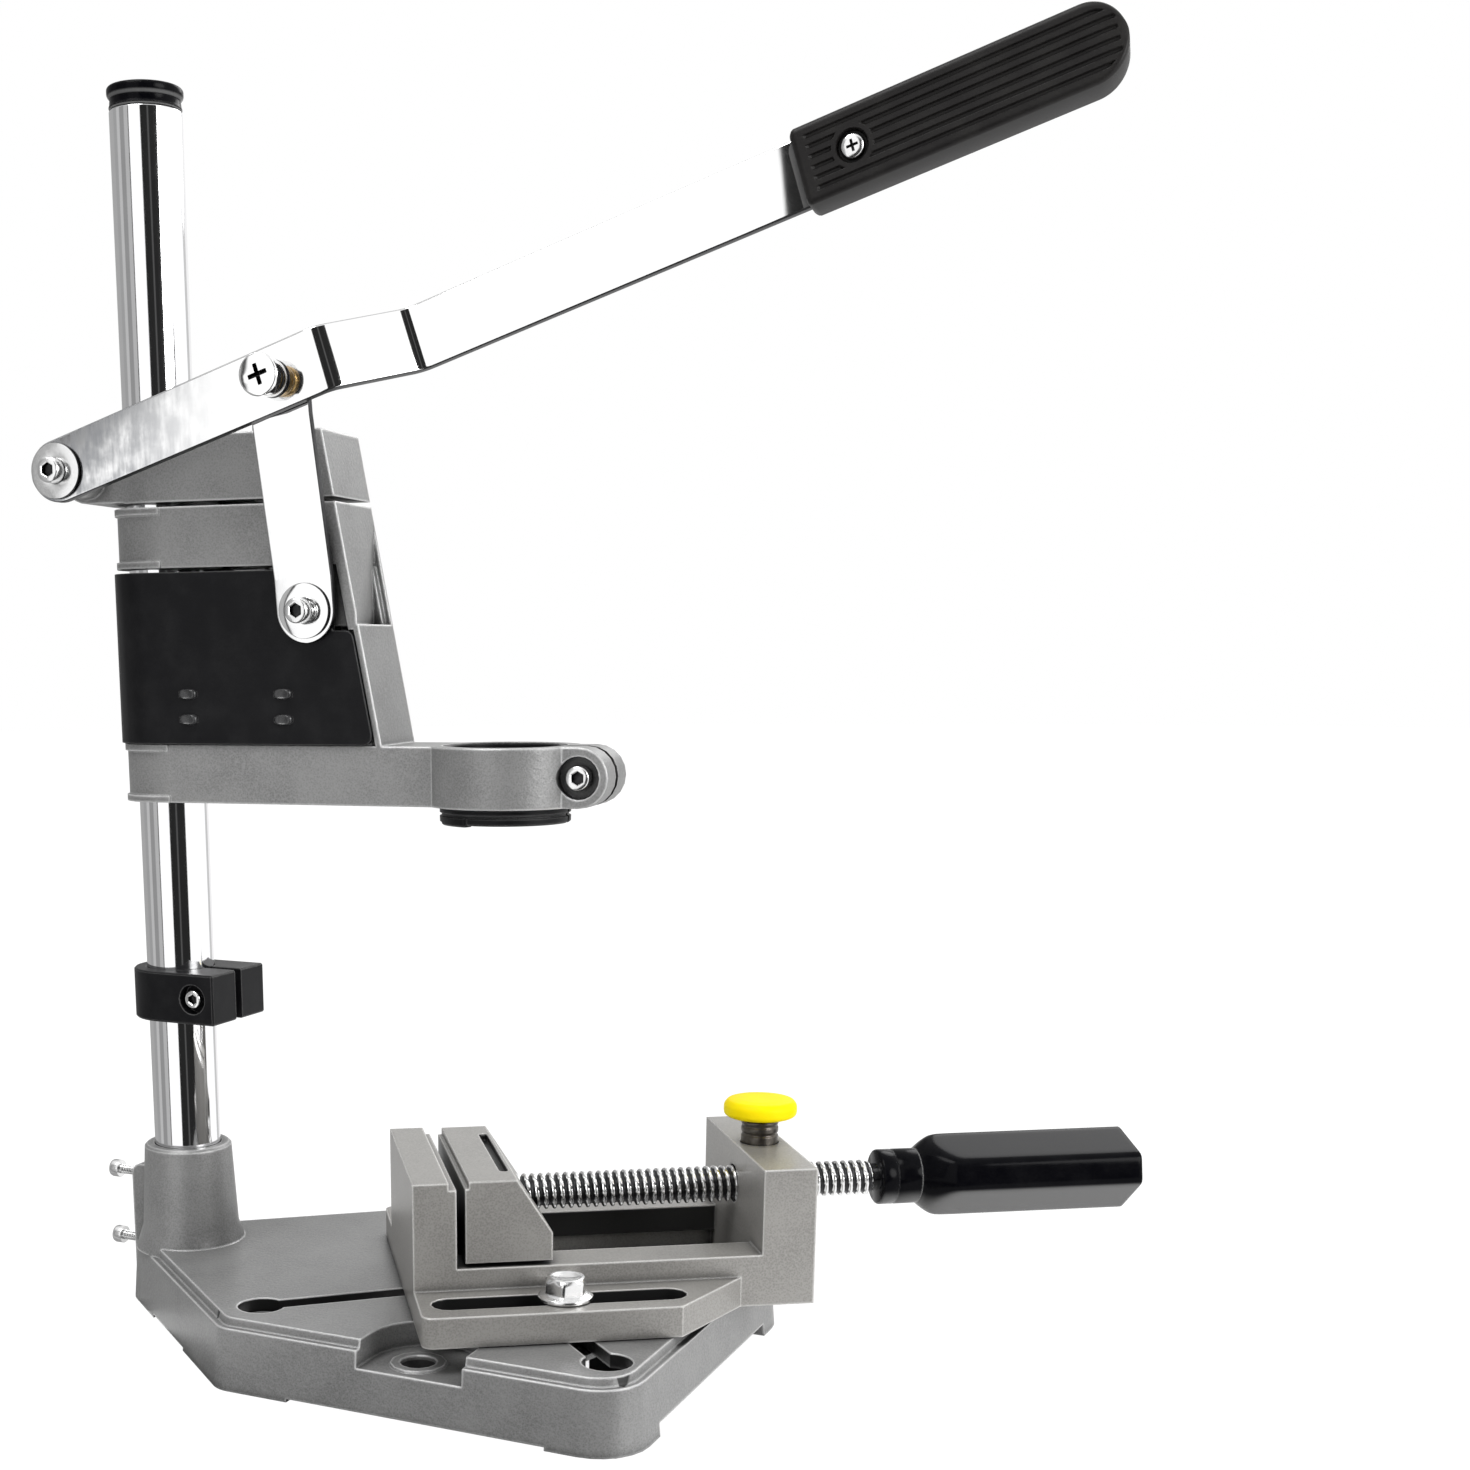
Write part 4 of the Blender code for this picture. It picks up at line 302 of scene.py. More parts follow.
def make_floor():
    """A wide pale disc, white to the camera beside the stand, that continues the upright bands; under the
    base's plate it is painted nearly black, a painted shade.
    """
    turns = np.linspace(0.0, 2.0 * pi, floor_corners, endpoint=False)
    across, along = floor_radius * np.cos(turns), floor_radius * np.sin(turns)
    points = np.stack([across, along, np.full(floor_corners, -floor_drop)], 1)
    mesh = bpy.data.meshes.new("floor")
    mesh.from_pydata(points.tolist(), [], [tuple(range(floor_corners))])
    pale = Finish("floor")
    azimuth, _ = azimuth_of(pale, pale.place)
    reaches = pale.along((1.0, 0.0, 0.0), plate_middle), pale.along((0.0, 1.0, 0.0))
    length, width = (reach.math("ABSOLUTE", reach) for reach in reaches)
    # Under the base's plate the floor is painted nearly black and does not glow to the camera: painted shade.
    inner, outer = plate_half - 1.0 * mm, plate_half + 1.0 * mm
    beside = most(length.smooth(inner, plate_half), width.smooth(plate_half, outer))
    pale.feed(Base_Color=pale.blend(beside, (0.02, 0.02, 0.02), (0.86, 0.86, 0.86)), Roughness=0.9)
    seen, glossy = ray_kinds(pale)
    glow = pale.node("ShaderNodeEmission", {}, Strength=seen * 1.15 + glossy * studio(azimuth))
    matt = Wire(pale, pale.shader.outputs[0])
    mixed = pale.node("ShaderNodeMixShader", {}, seen * beside * 0.88 + glossy, matt, glow)
    pale.fill(pale.tree.nodes["Material Output"].inputs["Surface"], mixed)
    mesh.materials.append(pale.material)
    add_object("floor", mesh)


make_floor()
bpy.context.scene.view_settings.view_transform = "Standard"
print("three soft lamps and a pale floor")

# %% [markdown]
# ## Finishes
# The castings are sprayed with a grey metallic paint over a sand-cast skin: it is slightly
# speckled, and its little waves scatter the light. The vise has a smoother, warmer coat. Both get
# rounded edges from a Bevel node, because a casting has no sharp edge anywhere.


# %% Painted castings
def cast_paint(name, dark, light, edge_highlight, wave, speckle, rough, rounding, shaded_hollows):
    """Speckled metallic paint over low rounded waves, with a painted highlight on its edges and painted
    shade, near black, in corners and in the places given.
    """
    paint = Finish(name)
    cloud = paint.noise(60.0, 3.0)
    grain = paint.noise(3200.0, 2.0)
    flakes = paint.cells(1500.0)
    mask = (cloud * 0.45 + grain * speckle + flakes * (0.9 - speckle)).smooth(0.30, 0.85)
    rounded = paint.bevel(rounding)
    colour = paint.blend(mask, dark, light)
    # the rounded edges take a lighter colour: a painted highlight
    colour = paint.blend(paint.edges(rounded), colour, edge_highlight)
    # corners, gaps and the places given are painted near black: painted shade
    clear_of_shade = paint.openness(6.0 * mm, 0.30, 0.85) * (1.0 - shaded_hollows(paint))
    colour = paint.blend(clear_of_shade, (0.012, 0.012, 0.012), colour)
    height = paint.cells(620.0) * 0.6 + paint.noise(1400.0, 2.0) * 0.5
    normal = paint.bump(height, wave, 1.0, rounded)
    roughness = cloud * 0.10 + grain * 0.14 + rough
    return paint.feed(Base_Color=colour, Roughness=roughness, Metallic=0.30, Normal=normal)


soft_wall = 0.5 * mm


def inside(paint, place, low, high):
    """1 in a box, given in millimetres of a place's own axes, with soft walls, and 0 outside it."""
    shares = []
    for axis, start, end in zip(place.turn.T, low, high):
        reach = paint.along(axis, axis @ place.origin)
        start, end = start * mm, end * mm
        shares.append(reach.smooth(start - soft_wall, start) * (1.0 - reach.smooth(end, end + soft_wall)))
    return shares[0] * shares[1] * shares[2]


def about_z(angle):
    return [[cos(angle), -sin(angle), 0.0], [sin(angle), cos(angle), 0.0], [0.0, 0.0, 1.0]]


def about_y(angle):
    return [[cos(angle), 0.0, sin(angle)], [0.0, 1.0, 0.0], [-sin(angle), 0.0, cos(angle)]]


print("painted edges are lighter")


# %% Bare and plated metal
# near black, for painted shade in recesses
recess_shade = (0.02, 0.02, 0.02)


def plated(name, dark, light, rough, streak, scale, depth, shade_recesses=True):
    """Plated steel: faint clouds, fine lines along one direction, and painted shade, near black, in its
    recesses.
    """
    metal = Finish(name)
    cloud = metal.noise(90.0, 3.0)
    lines = metal.noise(1.0, 2.0, metal.stretch(*scale))
    mask = (cloud * 0.6 + lines * 0.4).smooth(0.25, 0.75)
    colour = metal.blend(mask, dark, light)
    # recesses are painted near black: painted shade
    if shade_recesses:
        colour = metal.blend(metal.openness(2.5 * mm, 0.25, 0.55), recess_shade, colour)
    roughness = lines * streak + cloud * 0.08 + rough
    normal = metal.bump(lines, depth, 0.5)
    return metal.feed(Base_Color=colour, Roughness=roughness, Metallic=1.0, Normal=normal)


chrome = plated("chrome", (0.88, 0.88, 0.89), (0.93, 0.93, 0.94), 0.02, 0.02, (60.0, 60.0, 9.0), 0.000001,
                shade_recesses=False)
zinc = plated("zinc", (0.76, 0.76, 0.76), (0.90, 0.90, 0.90), 0.12, 0.10, (900.0, 900.0, 900.0), 0.00001)
dark_steel, brass, shadow_steel, spring_steel = (plated(*look, (700.0, 700.0, 700.0), 0.00001) for look in (
    ("dark_steel", (0.07, 0.06, 0.055), (0.16, 0.15, 0.13), 0.24, 0.12),
    ("brass", (0.48, 0.30, 0.10), (0.72, 0.50, 0.22), 0.20, 0.12),
    ("shadow_steel", (0.020, 0.020, 0.021), (0.075, 0.075, 0.078), 0.30, 0.12),
    ("spring_steel", (0.30, 0.29, 0.27), (0.52, 0.50, 0.46), 0.20, 0.10)))
print("six metals")


# %% Plastics
def moulded(name, colour, lighter, rough, grain_scale, depth, rounding, gloss, edge=None, below=None):
    """Moulded plastic: one pigment, a fine eroded grain and a hint of wear in the gloss, and where given, a
    painted highlight on the edges and a painted reflection of the floor below.
    """
    plastic = Finish(name)
    cloud = plastic.noise(110.0, 3.0)
    grain = plastic.noise(grain_scale, 2.0)
    mask = (cloud * 0.7 + grain * 0.3).smooth(0.35, 0.80)
    colour_wire = plastic.blend(mask, colour, lighter)
    rounded = plastic.bevel(rounding) if rounding else None
    # faces that look down take a lighter colour: a painted reflection of the floor
    if below:
        facing = plastic.node("ShaderNodeNewGeometry", {}, output=1)
        upright = plastic.node("ShaderNodeSeparateXYZ", {}, facing, output=2)
        colour_wire = plastic.blend(upright.smooth(-0.75, -0.25), below, colour_wire)
    # the rounded edges take a lighter colour: a painted highlight
    if edge:
        colour_wire = plastic.blend(plastic.edges(rounded), colour_wire, edge)
    normal = plastic.bump(grain, depth, 1.0, rounded)
    roughness = cloud * 0.12 + grain * 0.08 + rough
    return plastic.feed(Base_Color=colour_wire, Roughness=roughness, Normal=normal, Specular_IOR_Level=gloss)


# The last colour of black_satin is a painted edge highlight; gloss_black has a painted edge highlight, then a
# painted reflection of the floor on faces that look down.
black_satin = moulded("black_satin", (0.006, 0.006, 0.007), (0.013, 0.013, 0.014), 0.26, 2600.0, 0.00003,
                      0.8 * mm, 0.12, (0.12, 0.12, 0.12))
grip_black = moulded("grip_black", (0.009, 0.008, 0.008), (0.018, 0.017, 0.016), 0.36, 2200.0, 0.00005,
                     None, 0.22)
gloss_black = moulded("gloss_black", (0.002, 0.002, 0.003), (0.005, 0.005, 0.006), 0.06, 900.0, 0.00001,
                      0.9 * mm, 0.05, (0.34, 0.34, 0.34), (0.15, 0.15, 0.15))
lemon = moulded("lemon", (1.000, 0.780, 0.000), (1.000, 0.860, 0.000), 0.40, 1500.0, 0.00002, None, 0.10)
clip_black = moulded("clip_black", (0.020, 0.020, 0.021), (0.034, 0.034, 0.036), 0.16, 1800.0, 0.00002,
                     None, 0.60)
print("five plastics")

# %% [markdown]
# ## Places
# Three parts of the stand have their own directions: the arm is swung a little about the column,
# the lever slopes in the arm's plane, and the vise sits askew on the base. A `Place` holds such a
# turn and origin, and calling it carries an array of points into the stand's own axes.


# %% Places of the arm, lever, link and vise
class Place:
    """A turn and an origin; calling it carries points into the stand's axes."""

    def __init__(self, turn=np.eye(3), origin=(0.0, 0.0, 0.0)):
        self.turn = np.array(turn, float)
        self.origin = np.array(origin, float)

    def __call__(self, points):
        return np.asarray(points) @ self.turn.T + self.origin

    def then(self, turn, origin):
        return Place(self.turn @ np.array(turn, float), self(np.array(origin, float)))

    def moved(self, x, y=0.0, z=0.0):
        """The same directions about another origin."""
        return self.then(np.eye(3), (x, y, z))

    def facing(self, direction, origin):
        """A place whose own Z points along a direction of this one."""
        columns = {"+X": "YZX", "-X": "ZYX", "+Y": "ZXY", "-Y": "XZY", "+Z": "XYZ", "-Z": "YXZ"}[direction]
        axes = np.stack([np.eye(3)["XYZ".index(name)] for name in columns], 1)
        axes[:, 2] *= -1.0 if direction[0] == "-" else 1.0
        return self.then(axes, origin)


lever_tilt = radians(17.7)
link_tilt = radians(3.2)
arm_turn = 7.8
vise_turn = 34.0
pivot_reach, pivot_height = -22.0 * mm, 306.5 * mm
crank = 85.5 * mm
link_length = 73.6 * mm
vise_middle = 40.0 * mm
stand = Place()
arm = Place(about_z(radians(arm_turn)))
lever = arm.then(about_y(-lever_tilt), (pivot_reach, 0.0, pivot_height))
link = lever.then(about_y(lever_tilt - link_tilt), (crank, 0.0, 0.0))
vise = Place(about_z(radians(vise_turn)), (134.2 * mm, 0.0, 0.0)).moved(-36.5 * mm, -vise_middle)
print("lever pivot at", np.round(lever.origin / mm, 1), "mm")

# %% Paints and bright steel that follow those places
deck_low, deck_high = 19.6, 24.3


def base_hollows(paint):
    """1 in the base's slots and keyholes, on its underside and in the slit of the drill's ring, where the
    paint takes painted shade.
    """
    rear, front = (inside(paint, stand, (low, -70.0, deck_low), (high, 70.0, deck_high))
                   for low, high in ((58.0, 108.0), (164.0, 209.0)))
    middle = inside(paint, stand, (106.0, -45.0, deck_low), (166.0, 45.0, deck_high))
    below = inside(paint, stand, (72.0, -71.0, 2.0), (207.0, 71.0, 15.0))
    slit = inside(paint, arm, (150.5, -1.5, 192.0), (172.0, 1.5, 216.0))
    return most(slit, rear, front, middle, below * 0.8)


def vise_hollows(paint):
    """1 between the rails, on the walls of the flanges' slots and in the groove on the movable jaw, where the
    paint takes painted shade.
    """
    track = inside(paint, vise, (14.6, 15.4, 20.0), (119.6, 64.6, 42.6)) * 0.97
    near, far = (inside(paint, vise, (3.9, low, 20.0), (90.9, low + 13.0, 35.4)) for low in (-20.0, 87.0))
    groove = inside(paint, vise, (30.9, 13.4, 70.6), (34.0, 66.6, 72.9))
    return most(track, groove, near, far)


# The third colour of each paint is its painted edge highlight; the last argument gives the places of its
# painted shade.
stand_paint = cast_paint("stand_paint", (0.155, 0.155, 0.155), (0.275, 0.275, 0.273), (0.80, 0.80, 0.80),
                         0.00011, 0.50, 0.27, 1.5 * mm, base_hollows)
vise_paint = cast_paint("vise_paint", (0.235, 0.228, 0.216), (0.335, 0.326, 0.310), (0.86, 0.85, 0.83),
                        0.00003, 0.30, 0.25, 1.3 * mm, vise_hollows)


def bright_steel():
    """Bright plating, brushed, and darker and duller in patches round the lever's pivot; painted shade in its
    recesses.
    """
    metal = Finish("bright_steel")
    cloud = metal.noise(140.0, 4.0)
    lines = metal.noise(1.0, 3.0, metal.stretch(500.0, 500.0, 90.0))
    axis = lever.turn[:, 0]
    near = 1.0 - metal.along(axis, axis @ lever.origin).smooth(10.0 * mm, 78.0 * mm)
    # darker and rougher in mottled patches near the pivot
    duller_near_pivot = near * (cloud * 0.7 + lines * 0.6).smooth(0.35, 0.85)
    colour = metal.blend(duller_near_pivot, (0.93, 0.93, 0.93), (0.40, 0.41, 0.43))
    # recesses are painted near black: painted shade
    colour = metal.blend(metal.openness(2.5 * mm, 0.25, 0.55), recess_shade, colour)
    normal = metal.bump(lines, 0.000004, 0.5)
    roughness = duller_near_pivot * 0.15 + cloud * 0.04 + 0.05
    return metal.feed(Base_Color=colour, Roughness=roughness, Metallic=1.0, Normal=normal)


bar_steel = bright_steel()
print("two casting paints and the lever's plating")

# %% [markdown]
# ## Surfaces from grids
# Every new piece is a grid of points, row by row. Rows run along the piece and each row goes once
# round it, so a closed skin needs only the faces between neighbouring rows, and a cap at each end.


# %% Skins
same_point = 1e-6


def skin(node, grid, material, body, place, crease, ring=False, dark=None, name=None):
    """A grid of rows in millimetres, each closed on itself, made into a closed mesh on a body.

    With ring=True the last row joins the first one, and no caps are made. The faces that dark marks,
    by row and by place in the row, take the shadowed steel of recesses and of cut edges."""
    grid = place(np.asarray(grid, float) * mm)
    rows, count = grid.shape[:2]
    index = np.arange(rows * count).reshape(rows, count)
    upper = np.roll(index, -1, 0) if ring else index[1:]
    lower = index if ring else index[:-1]
    quads = np.stack([lower, np.roll(lower, -1, 1), np.roll(upper, -1, 1), upper], -1).reshape(-1, 4)
    faces = quads.tolist()
    if not ring:
        faces += [index[0][::-1].tolist(), index[-1].tolist()]
    name = name or node + "_skin"
    mesh = bpy.data.meshes.new(name)
    mesh.from_pydata(grid.reshape(-1, 3).tolist(), [], faces)
    if dark is not None:
        marks = np.zeros(len(mesh.polygons), int)
        marks[:len(quads)] = np.broadcast_to(dark, (len(upper), count)).reshape(-1)
        mesh.polygons.foreach_set("material_index", marks)
    merge(mesh, True)
    made = finish_piece(name, mesh, material, body, node, crease)
    if dark is not None:
        mesh.materials.append(shadow_steel)
    return made


def merge(mesh, turn_outwards):
    """Joins points that coincide, and drops the faces that this leaves without an area."""
    work = bmesh.new()
    work.from_mesh(mesh)
    bmesh.ops.remove_doubles(work, verts=work.verts, dist=same_point)
    bmesh.ops.dissolve_degenerate(work, edges=work.edges, dist=same_point)
    if turn_outwards:
        bmesh.ops.recalc_face_normals(work, faces=work.faces)
    work.to_mesh(mesh)
    work.free()


def finish_piece(name, mesh, material, body, node, crease):
    """An object made from a mesh, which rides on its body and takes the place of a solid."""
    mesh.materials.append(material)
    mesh.shade_smooth()
    mesh.set_sharp_from_angle(angle=radians(crease))
    made = add_object(name, mesh)
    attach(made, body)
    if node:
        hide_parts(node)
    return made


def lean_on_large_faces(mesh, crease):
    """Gives each corner the mean normal of the faces that meet it softly, the large ones first."""
    faces = [(np.array(face.normal), face.area) for face in mesh.polygons]
    around = [[] for _ in mesh.vertices]
    for face in mesh.polygons:
        for vertex in face.vertices:
            around[vertex].append(face.index)
    limit = cos(radians(crease))
    corners = []
    for face in mesh.polygons:
        own = faces[face.index][0]
        for vertex in face.vertices:
            near = (faces[other] for other in around[vertex])
            total = sum(normal * area for normal, area in near if normal @ own > limit)
            corners.append(total / max(np.linalg.norm(total), 1e-12))
    mesh.normals_split_custom_set(corners)


def soften(profile, size, steps=4):
    """A polyline with its inner corners rounded by arcs, sizes given per corner or once for all."""
    profile = np.asarray(profile, float)
    sizes = np.broadcast_to(size, len(profile) - 2)
    points = [profile[0]]
    for before, corner, after, radius in zip(profile[:-2], profile[1:-1], profile[2:], sizes):
        back, ahead = before - corner, after - corner
        reach = min(radius, np.linalg.norm(back) * 0.49, np.linalg.norm(ahead) * 0.49)
        start, end = corner + unit(back) * reach, corner + unit(ahead) * reach
        share = np.linspace(0.0, 1.0, steps + 1)[:, None]
        points.extend((1 - share) ** 2 * start + 2 * share * (1 - share) * corner + share ** 2 * end)
    return np.array([*points, profile[-1]])


directions = np.linspace(0.0, 2.0 * pi, 96, endpoint=False)
cosines, sines = np.cos(directions), np.sin(directions)


def row(radius, height):
    """One row about Z: a radius, or one radius for each direction, at a height."""
    radius = np.broadcast_to(radius, directions.shape)
    return np.stack([radius * cosines, radius * sines, np.broadcast_to(height, directions.shape)], -1)


def revolve(profile):
    """A profile of (radius, height) carried round Z."""
    return np.stack([row(radius, height) for radius, height in profile])


print("skins are grids of rows")

# %% [markdown]
# ## Castings
# A casting with slots, bores and ribs isn't a simple surface, so the solid's own shape is kept.
# A copy of the solid is merged, so that its round walls can shade smoothly, and it takes the paint.


# %% Dress the castings
casting_crease = 32.0


def dress(node, body, material):
    """A merged copy of a solid, shaded smoothly across its shallow edges."""
    mesh = frame["nodes"][node].data.copy()
    mesh.name = node + "_skin"
    merge(mesh, False)
    mesh.materials.clear()
    finish_piece(node + "_skin", mesh, material, body, node, casting_crease)
    lean_on_large_faces(mesh, casting_crease)


for node, body in (("base_casting", "base"), ("head_bracket", "head"), ("carriage_casting", "carriage")):
    dress(node, body, stand_paint)
for node, body in (("vise_casting", "vise"), ("movable_jaw", "jaw")):
    dress(node, body, vise_paint)
for node, body in (("stop_collar", "stop"), ("spring_cover", "carriage")):
    dress(node, body, black_satin)
print("seven castings and mouldings dressed")


# %% Clips on the cover
def clip_rows(long, high, rise):
    """A low raised oval: its outline draws in towards the top like a cushion."""
    outline = ((np.abs(cosines) / long) ** 3 + (np.abs(sines) / high) ** 3) ** (-1.0 / 3.0)
    sunk = -0.4
    rows = [row(0.0, sunk), row(outline, sunk)]
    for turn in np.linspace(0.0, pi / 2, 7)[:-1]:
        rows.append(row(outline * (1.0 - 0.35 * (1.0 - cos(turn))), rise * sin(turn)))
    return rows + [row(outline * 0.45, rise * 0.72), row(0.0, rise * 0.60)]


for number, (reach, height) in enumerate([(a, h) for a in (16.4, 53.0) for h in (222.4, 231.2)], 1):
    clip = arm.facing("-Y", (reach * mm, -17.75 * mm, height * mm))
    rows = clip_rows(3.4, 1.9, 1.5)
    skin(None, rows, clip_black, "carriage", clip, 60.0, name=f"cover_clip_skin_{number}")
print("four clips on the cover")

# %% [markdown]
# ## Reducing sleeve
# The sleeve is a split ring in the drill's collar. One closed section is carried round it from one
# side of the split to the other, and its flange is notched, and a step thicker on one side.

# %% Sleeve
ring_reach = 128.3
half_split = 0.055
sleeve_rows = []
for turn in np.linspace(half_split, 2.0 * pi - half_split, 241):
    round_it = (np.degrees(turn) - arm_turn) % 360.0
    notch = 0.9 * np.clip(1.6 - abs(round_it - 243.0) / 1.2, 0.0, 1.0)
    low = 186.7 if 205.0 < round_it < 242.0 else 187.3
    section = [(19.0, low), (22.2 - notch, low), (22.85 - notch, low + 0.5), (22.9 - notch, 189.6),
               (22.2, 189.9), (22.2, 190.6), (22.9, 190.9), (22.9, 192.4), (22.4, 192.7), (21.35, 192.7),
               (21.35, 213.0), (21.0, 213.4), (19.3, 213.4), (19.0, 213.1)]
    sleeve_rows.append([(ring_reach + r * cos(turn), r * sin(turn), h) for r, h in section])
skin("reducing_sleeve", sleeve_rows, black_satin, "carriage", arm, 30.0)
print("sleeve of", len(sleeve_rows), "sections")

# %% [markdown]
# ## Column and cap
# The column is a chromed tube. Its profile runs up the outside, over a small chamfer and down the
# inside. The cap is a moulded plug with a wide rim, a groove under it and a low dome.

# %% Column
tube_profile = soften([(10.5, 6.3), (12.5, 6.3), (12.5, 425.0), (10.5, 425.0)], 0.5)
tube = revolve(tube_profile)
skin("column_tube", tube, chrome, "column", stand, 35.0, ring=True, name="column_skin")
cap_profile = [(0, 411.2), (10.0, 411.2), (10.0, 425.4), (12.3, 425.4), (12.6, 426.0), (12.3, 426.6),
               (12.1, 428.6), (12.9, 429.6), (13.1, 430.2), (13.1, 431.8), (12.5, 432.5), (11.4, 432.4),
               (7.0, 433.7), (0, 434.5)]
cap = revolve(soften(cap_profile, 0.4))
skin("column_cap", cap, gloss_black, "column", stand, 50.0, name="cap_skin")
print("column and cap")

# %% [markdown]
# ## Bolts, nuts and washers
# A hexagon with its corners cut by a cone is the smaller of two radii in every direction, so a
# bolt's head is one grid: rows go up its side, in over the chamfer and down into the key's socket.


# %% Fastener shapes
def hexagon(flats, turn=0.0):
    """Distance from the middle to the side of a hexagon, in every direction."""
    return flats / 2.0 / np.cos((directions - turn + pi / 6) % (pi / 3) - pi / 6)


def cross(length, width):
    """Distance to the outline of two crossed bars."""
    c, s = np.abs(cosines) + 1e-9, np.abs(sines) + 1e-9
    return np.maximum(np.minimum(length / 2 / c, width / 2 / s), np.minimum(length / 2 / s, width / 2 / c))


def thread_rows(radius, low, high, pitch, depth):
    """A shank whose radius follows the thread: a ridge that moves one pitch up in each turn."""
    heights = np.arange(low, high, pitch / 5.0)
    phase = (heights[:, None] / pitch - directions[None, :] / (2.0 * pi)) % 1.0
    fade = np.clip(np.minimum(heights - low, high - heights) / pitch, 0.0, 1.0)[:, None]
    radii = radius - depth * fade * np.abs(phase * 2.0 - 1.0)
    return [row(r, h) for r, h in zip(radii, heights)]


def shank_rows(size, tip, seat):
    """The threaded shank of a small screw, from its tip up to the seat of its head."""
    rows = [row(0.0, tip), row(size * 0.38, tip)]
    rows += thread_rows(size * 0.49, tip + 0.3, seat - 0.2, 0.8, 0.3)
    return rows + [row(size * 0.5, seat)]


def headed(rows, material, body, place, node):
    """The skin of a screw whose last two bands of faces line the recess in its head and take the shadowed
    steel, a painted shade.
    """
    bands = np.arange(len(rows) - 1)
    skin(node, rows, material, body, place, 38.0, dark=(bands >= len(bands) - 2)[:, None])


def socket_bolt(node, size, seat, tip, body, place):
    """A cap screw along Z with its head up: knurled head, hexagon socket, threaded shank."""
    head, key = size * 0.85, hexagon(size * 0.80)
    grip = head * 0.98 * (1.0 + 0.022 * np.abs(np.sin(directions * 18.0)))
    shape = [(head * 0.97, 0.0), (grip, 0.2 / size), (grip, 0.78), (head * 0.98, 0.84), (head * 0.93, 0.95),
             (head * 0.85, 1.0), (hexagon(size * 0.92), 1.0), (key, 0.94), (key, 0.45), (0.0, 0.32)]
    rows = shank_rows(size, tip, seat) + [row(radius, seat + size * share) for radius, share in shape]
    headed(rows, zinc, body, place, node)


def cross_screw(node, size, head, height, seat, tip, material, body, place, flat=False):
    """A screw along Z with a low head and a cross recess."""
    rows = shank_rows(size, tip, seat) + [row(head, seat)]
    start, dome = (0.70, 0.10) if flat else (0.35, 0.52)
    for share in np.linspace(0.0, 1.0, 9):
        rise = start + (1.0 - start) * sin(share * pi / 2)
        rows.append(row(head * (1.0 - dome * share ** 2), seat + height * rise))
    rows += [row(cross(head, head * 0.22), seat + height),
             row(cross(head * 0.85, head * 0.15), seat + height * 0.55)]
    headed(rows + [row(0.0, seat + height * 0.35)], material, body, place, node)


def hex_nut(node, size, flats, low, high, body, place):
    """A nut along Z: the hexagon cut by a cone at both faces, and a bore."""
    outline, corner, height = hexagon(flats), flats / 2 / cos(pi / 6), high - low
    share = np.linspace(0.0, 1.0, 13)
    cone = corner * (1.0 - 0.11 * np.clip(1.0 - np.minimum(share, 1.0 - share) / 0.16, 0.0, 1.0))
    rows = [row(size * 0.5 + 0.3, low), row(flats * 0.46, low)]
    rows += [row(np.minimum(outline, limit), low + height * t) for t, limit in zip(share, cone)]
    rows += [row(flats * 0.46, high), row(size * 0.5 + 0.3, high)]
    skin(node, rows, zinc, body, place, 30.0, ring=True)


def flat_washer(node, outer, inner, low, high, material, body, place):
    """A washer along Z with soft edges and a rim in shadowed steel, a painted shade."""
    middle, edge = (inner, (low + high) / 2), min((high - low) * 0.3, 0.4)
    profile = soften([middle, (inner, low), (outer, low), (outer, high), (inner, high), middle], edge, 2)[:-1]
    # the rim's faces take the shadowed steel: painted shade
    rim = profile[:, 0] > outer - 0.30
    dark = (rim & np.roll(rim, -1))[:, None]
    skin(node, revolve(profile), material, body, place, 50.0, ring=True, dark=dark)


print("fasteners are grids too")

# %% Fasteners of the lever's pivot, the link and the clamp
pivot = arm.facing("-Y", (pivot_reach, 0.0, pivot_height))
socket_bolt("pivot_bolt", 5, 36.1, -18.4, "head", pivot)
flat_washer("pivot_washer", 9.2, 2.8, 34.6, 35.8, zinc, "head", pivot)
hex_nut("pivot_nut", 5, 8.6, -18.4, -14.4, "head", pivot)
foot = np.array([pivot_reach + crank * cos(lever_tilt) + link_length * sin(link_tilt), 0.0,
                 pivot_height + crank * sin(lever_tilt) - link_length * cos(link_tilt)])
foot_place = arm.facing("-Y", foot)
socket_bolt("link_bolt", 5, 25.0, 13.0, "carriage", foot_place)
flat_washer("link_washer", 9.2, 2.8, 21.6, 22.8, bar_steel, "carriage", foot_place)
clamp = arm.facing("-Y", (158.0 * mm, 0.0, 203.25 * mm))
socket_bolt("clamp_bolt", 5, 9.3, -17.2, "carriage", clamp)
hex_nut("clamp_nut", 5, 8.6, -16.9, -12.9, "carriage", clamp)
print("link foot at", np.round(foot / mm, 1))

# %% [markdown]
# ## Lever
# The lever is a flat bar with two bends that bring its outer end to the middle of the stand. Its
# section, a rectangle with rounded edges, is carried along a path in plan, and its half width
# follows a circle at the pivot's end, which gives the round end.


# %% Lever bar
corner_points = 10


def stadium(half_width, half_depth, edge):
    """A rectangle with rounded corners as one closed loop of (across, through) points."""
    corners = []
    for k, (sx, sy) in enumerate(((1, 1), (-1, 1), (-1, -1), (1, -1))):
        turn = np.linspace(k * pi / 2, (k + 1) * pi / 2, corner_points)
        middle = (sx * (half_width - edge), sy * (half_depth - edge))
        corners.append(middle + edge * np.stack([np.cos(turn), np.sin(turn)], 1))
    return np.concatenate(corners)


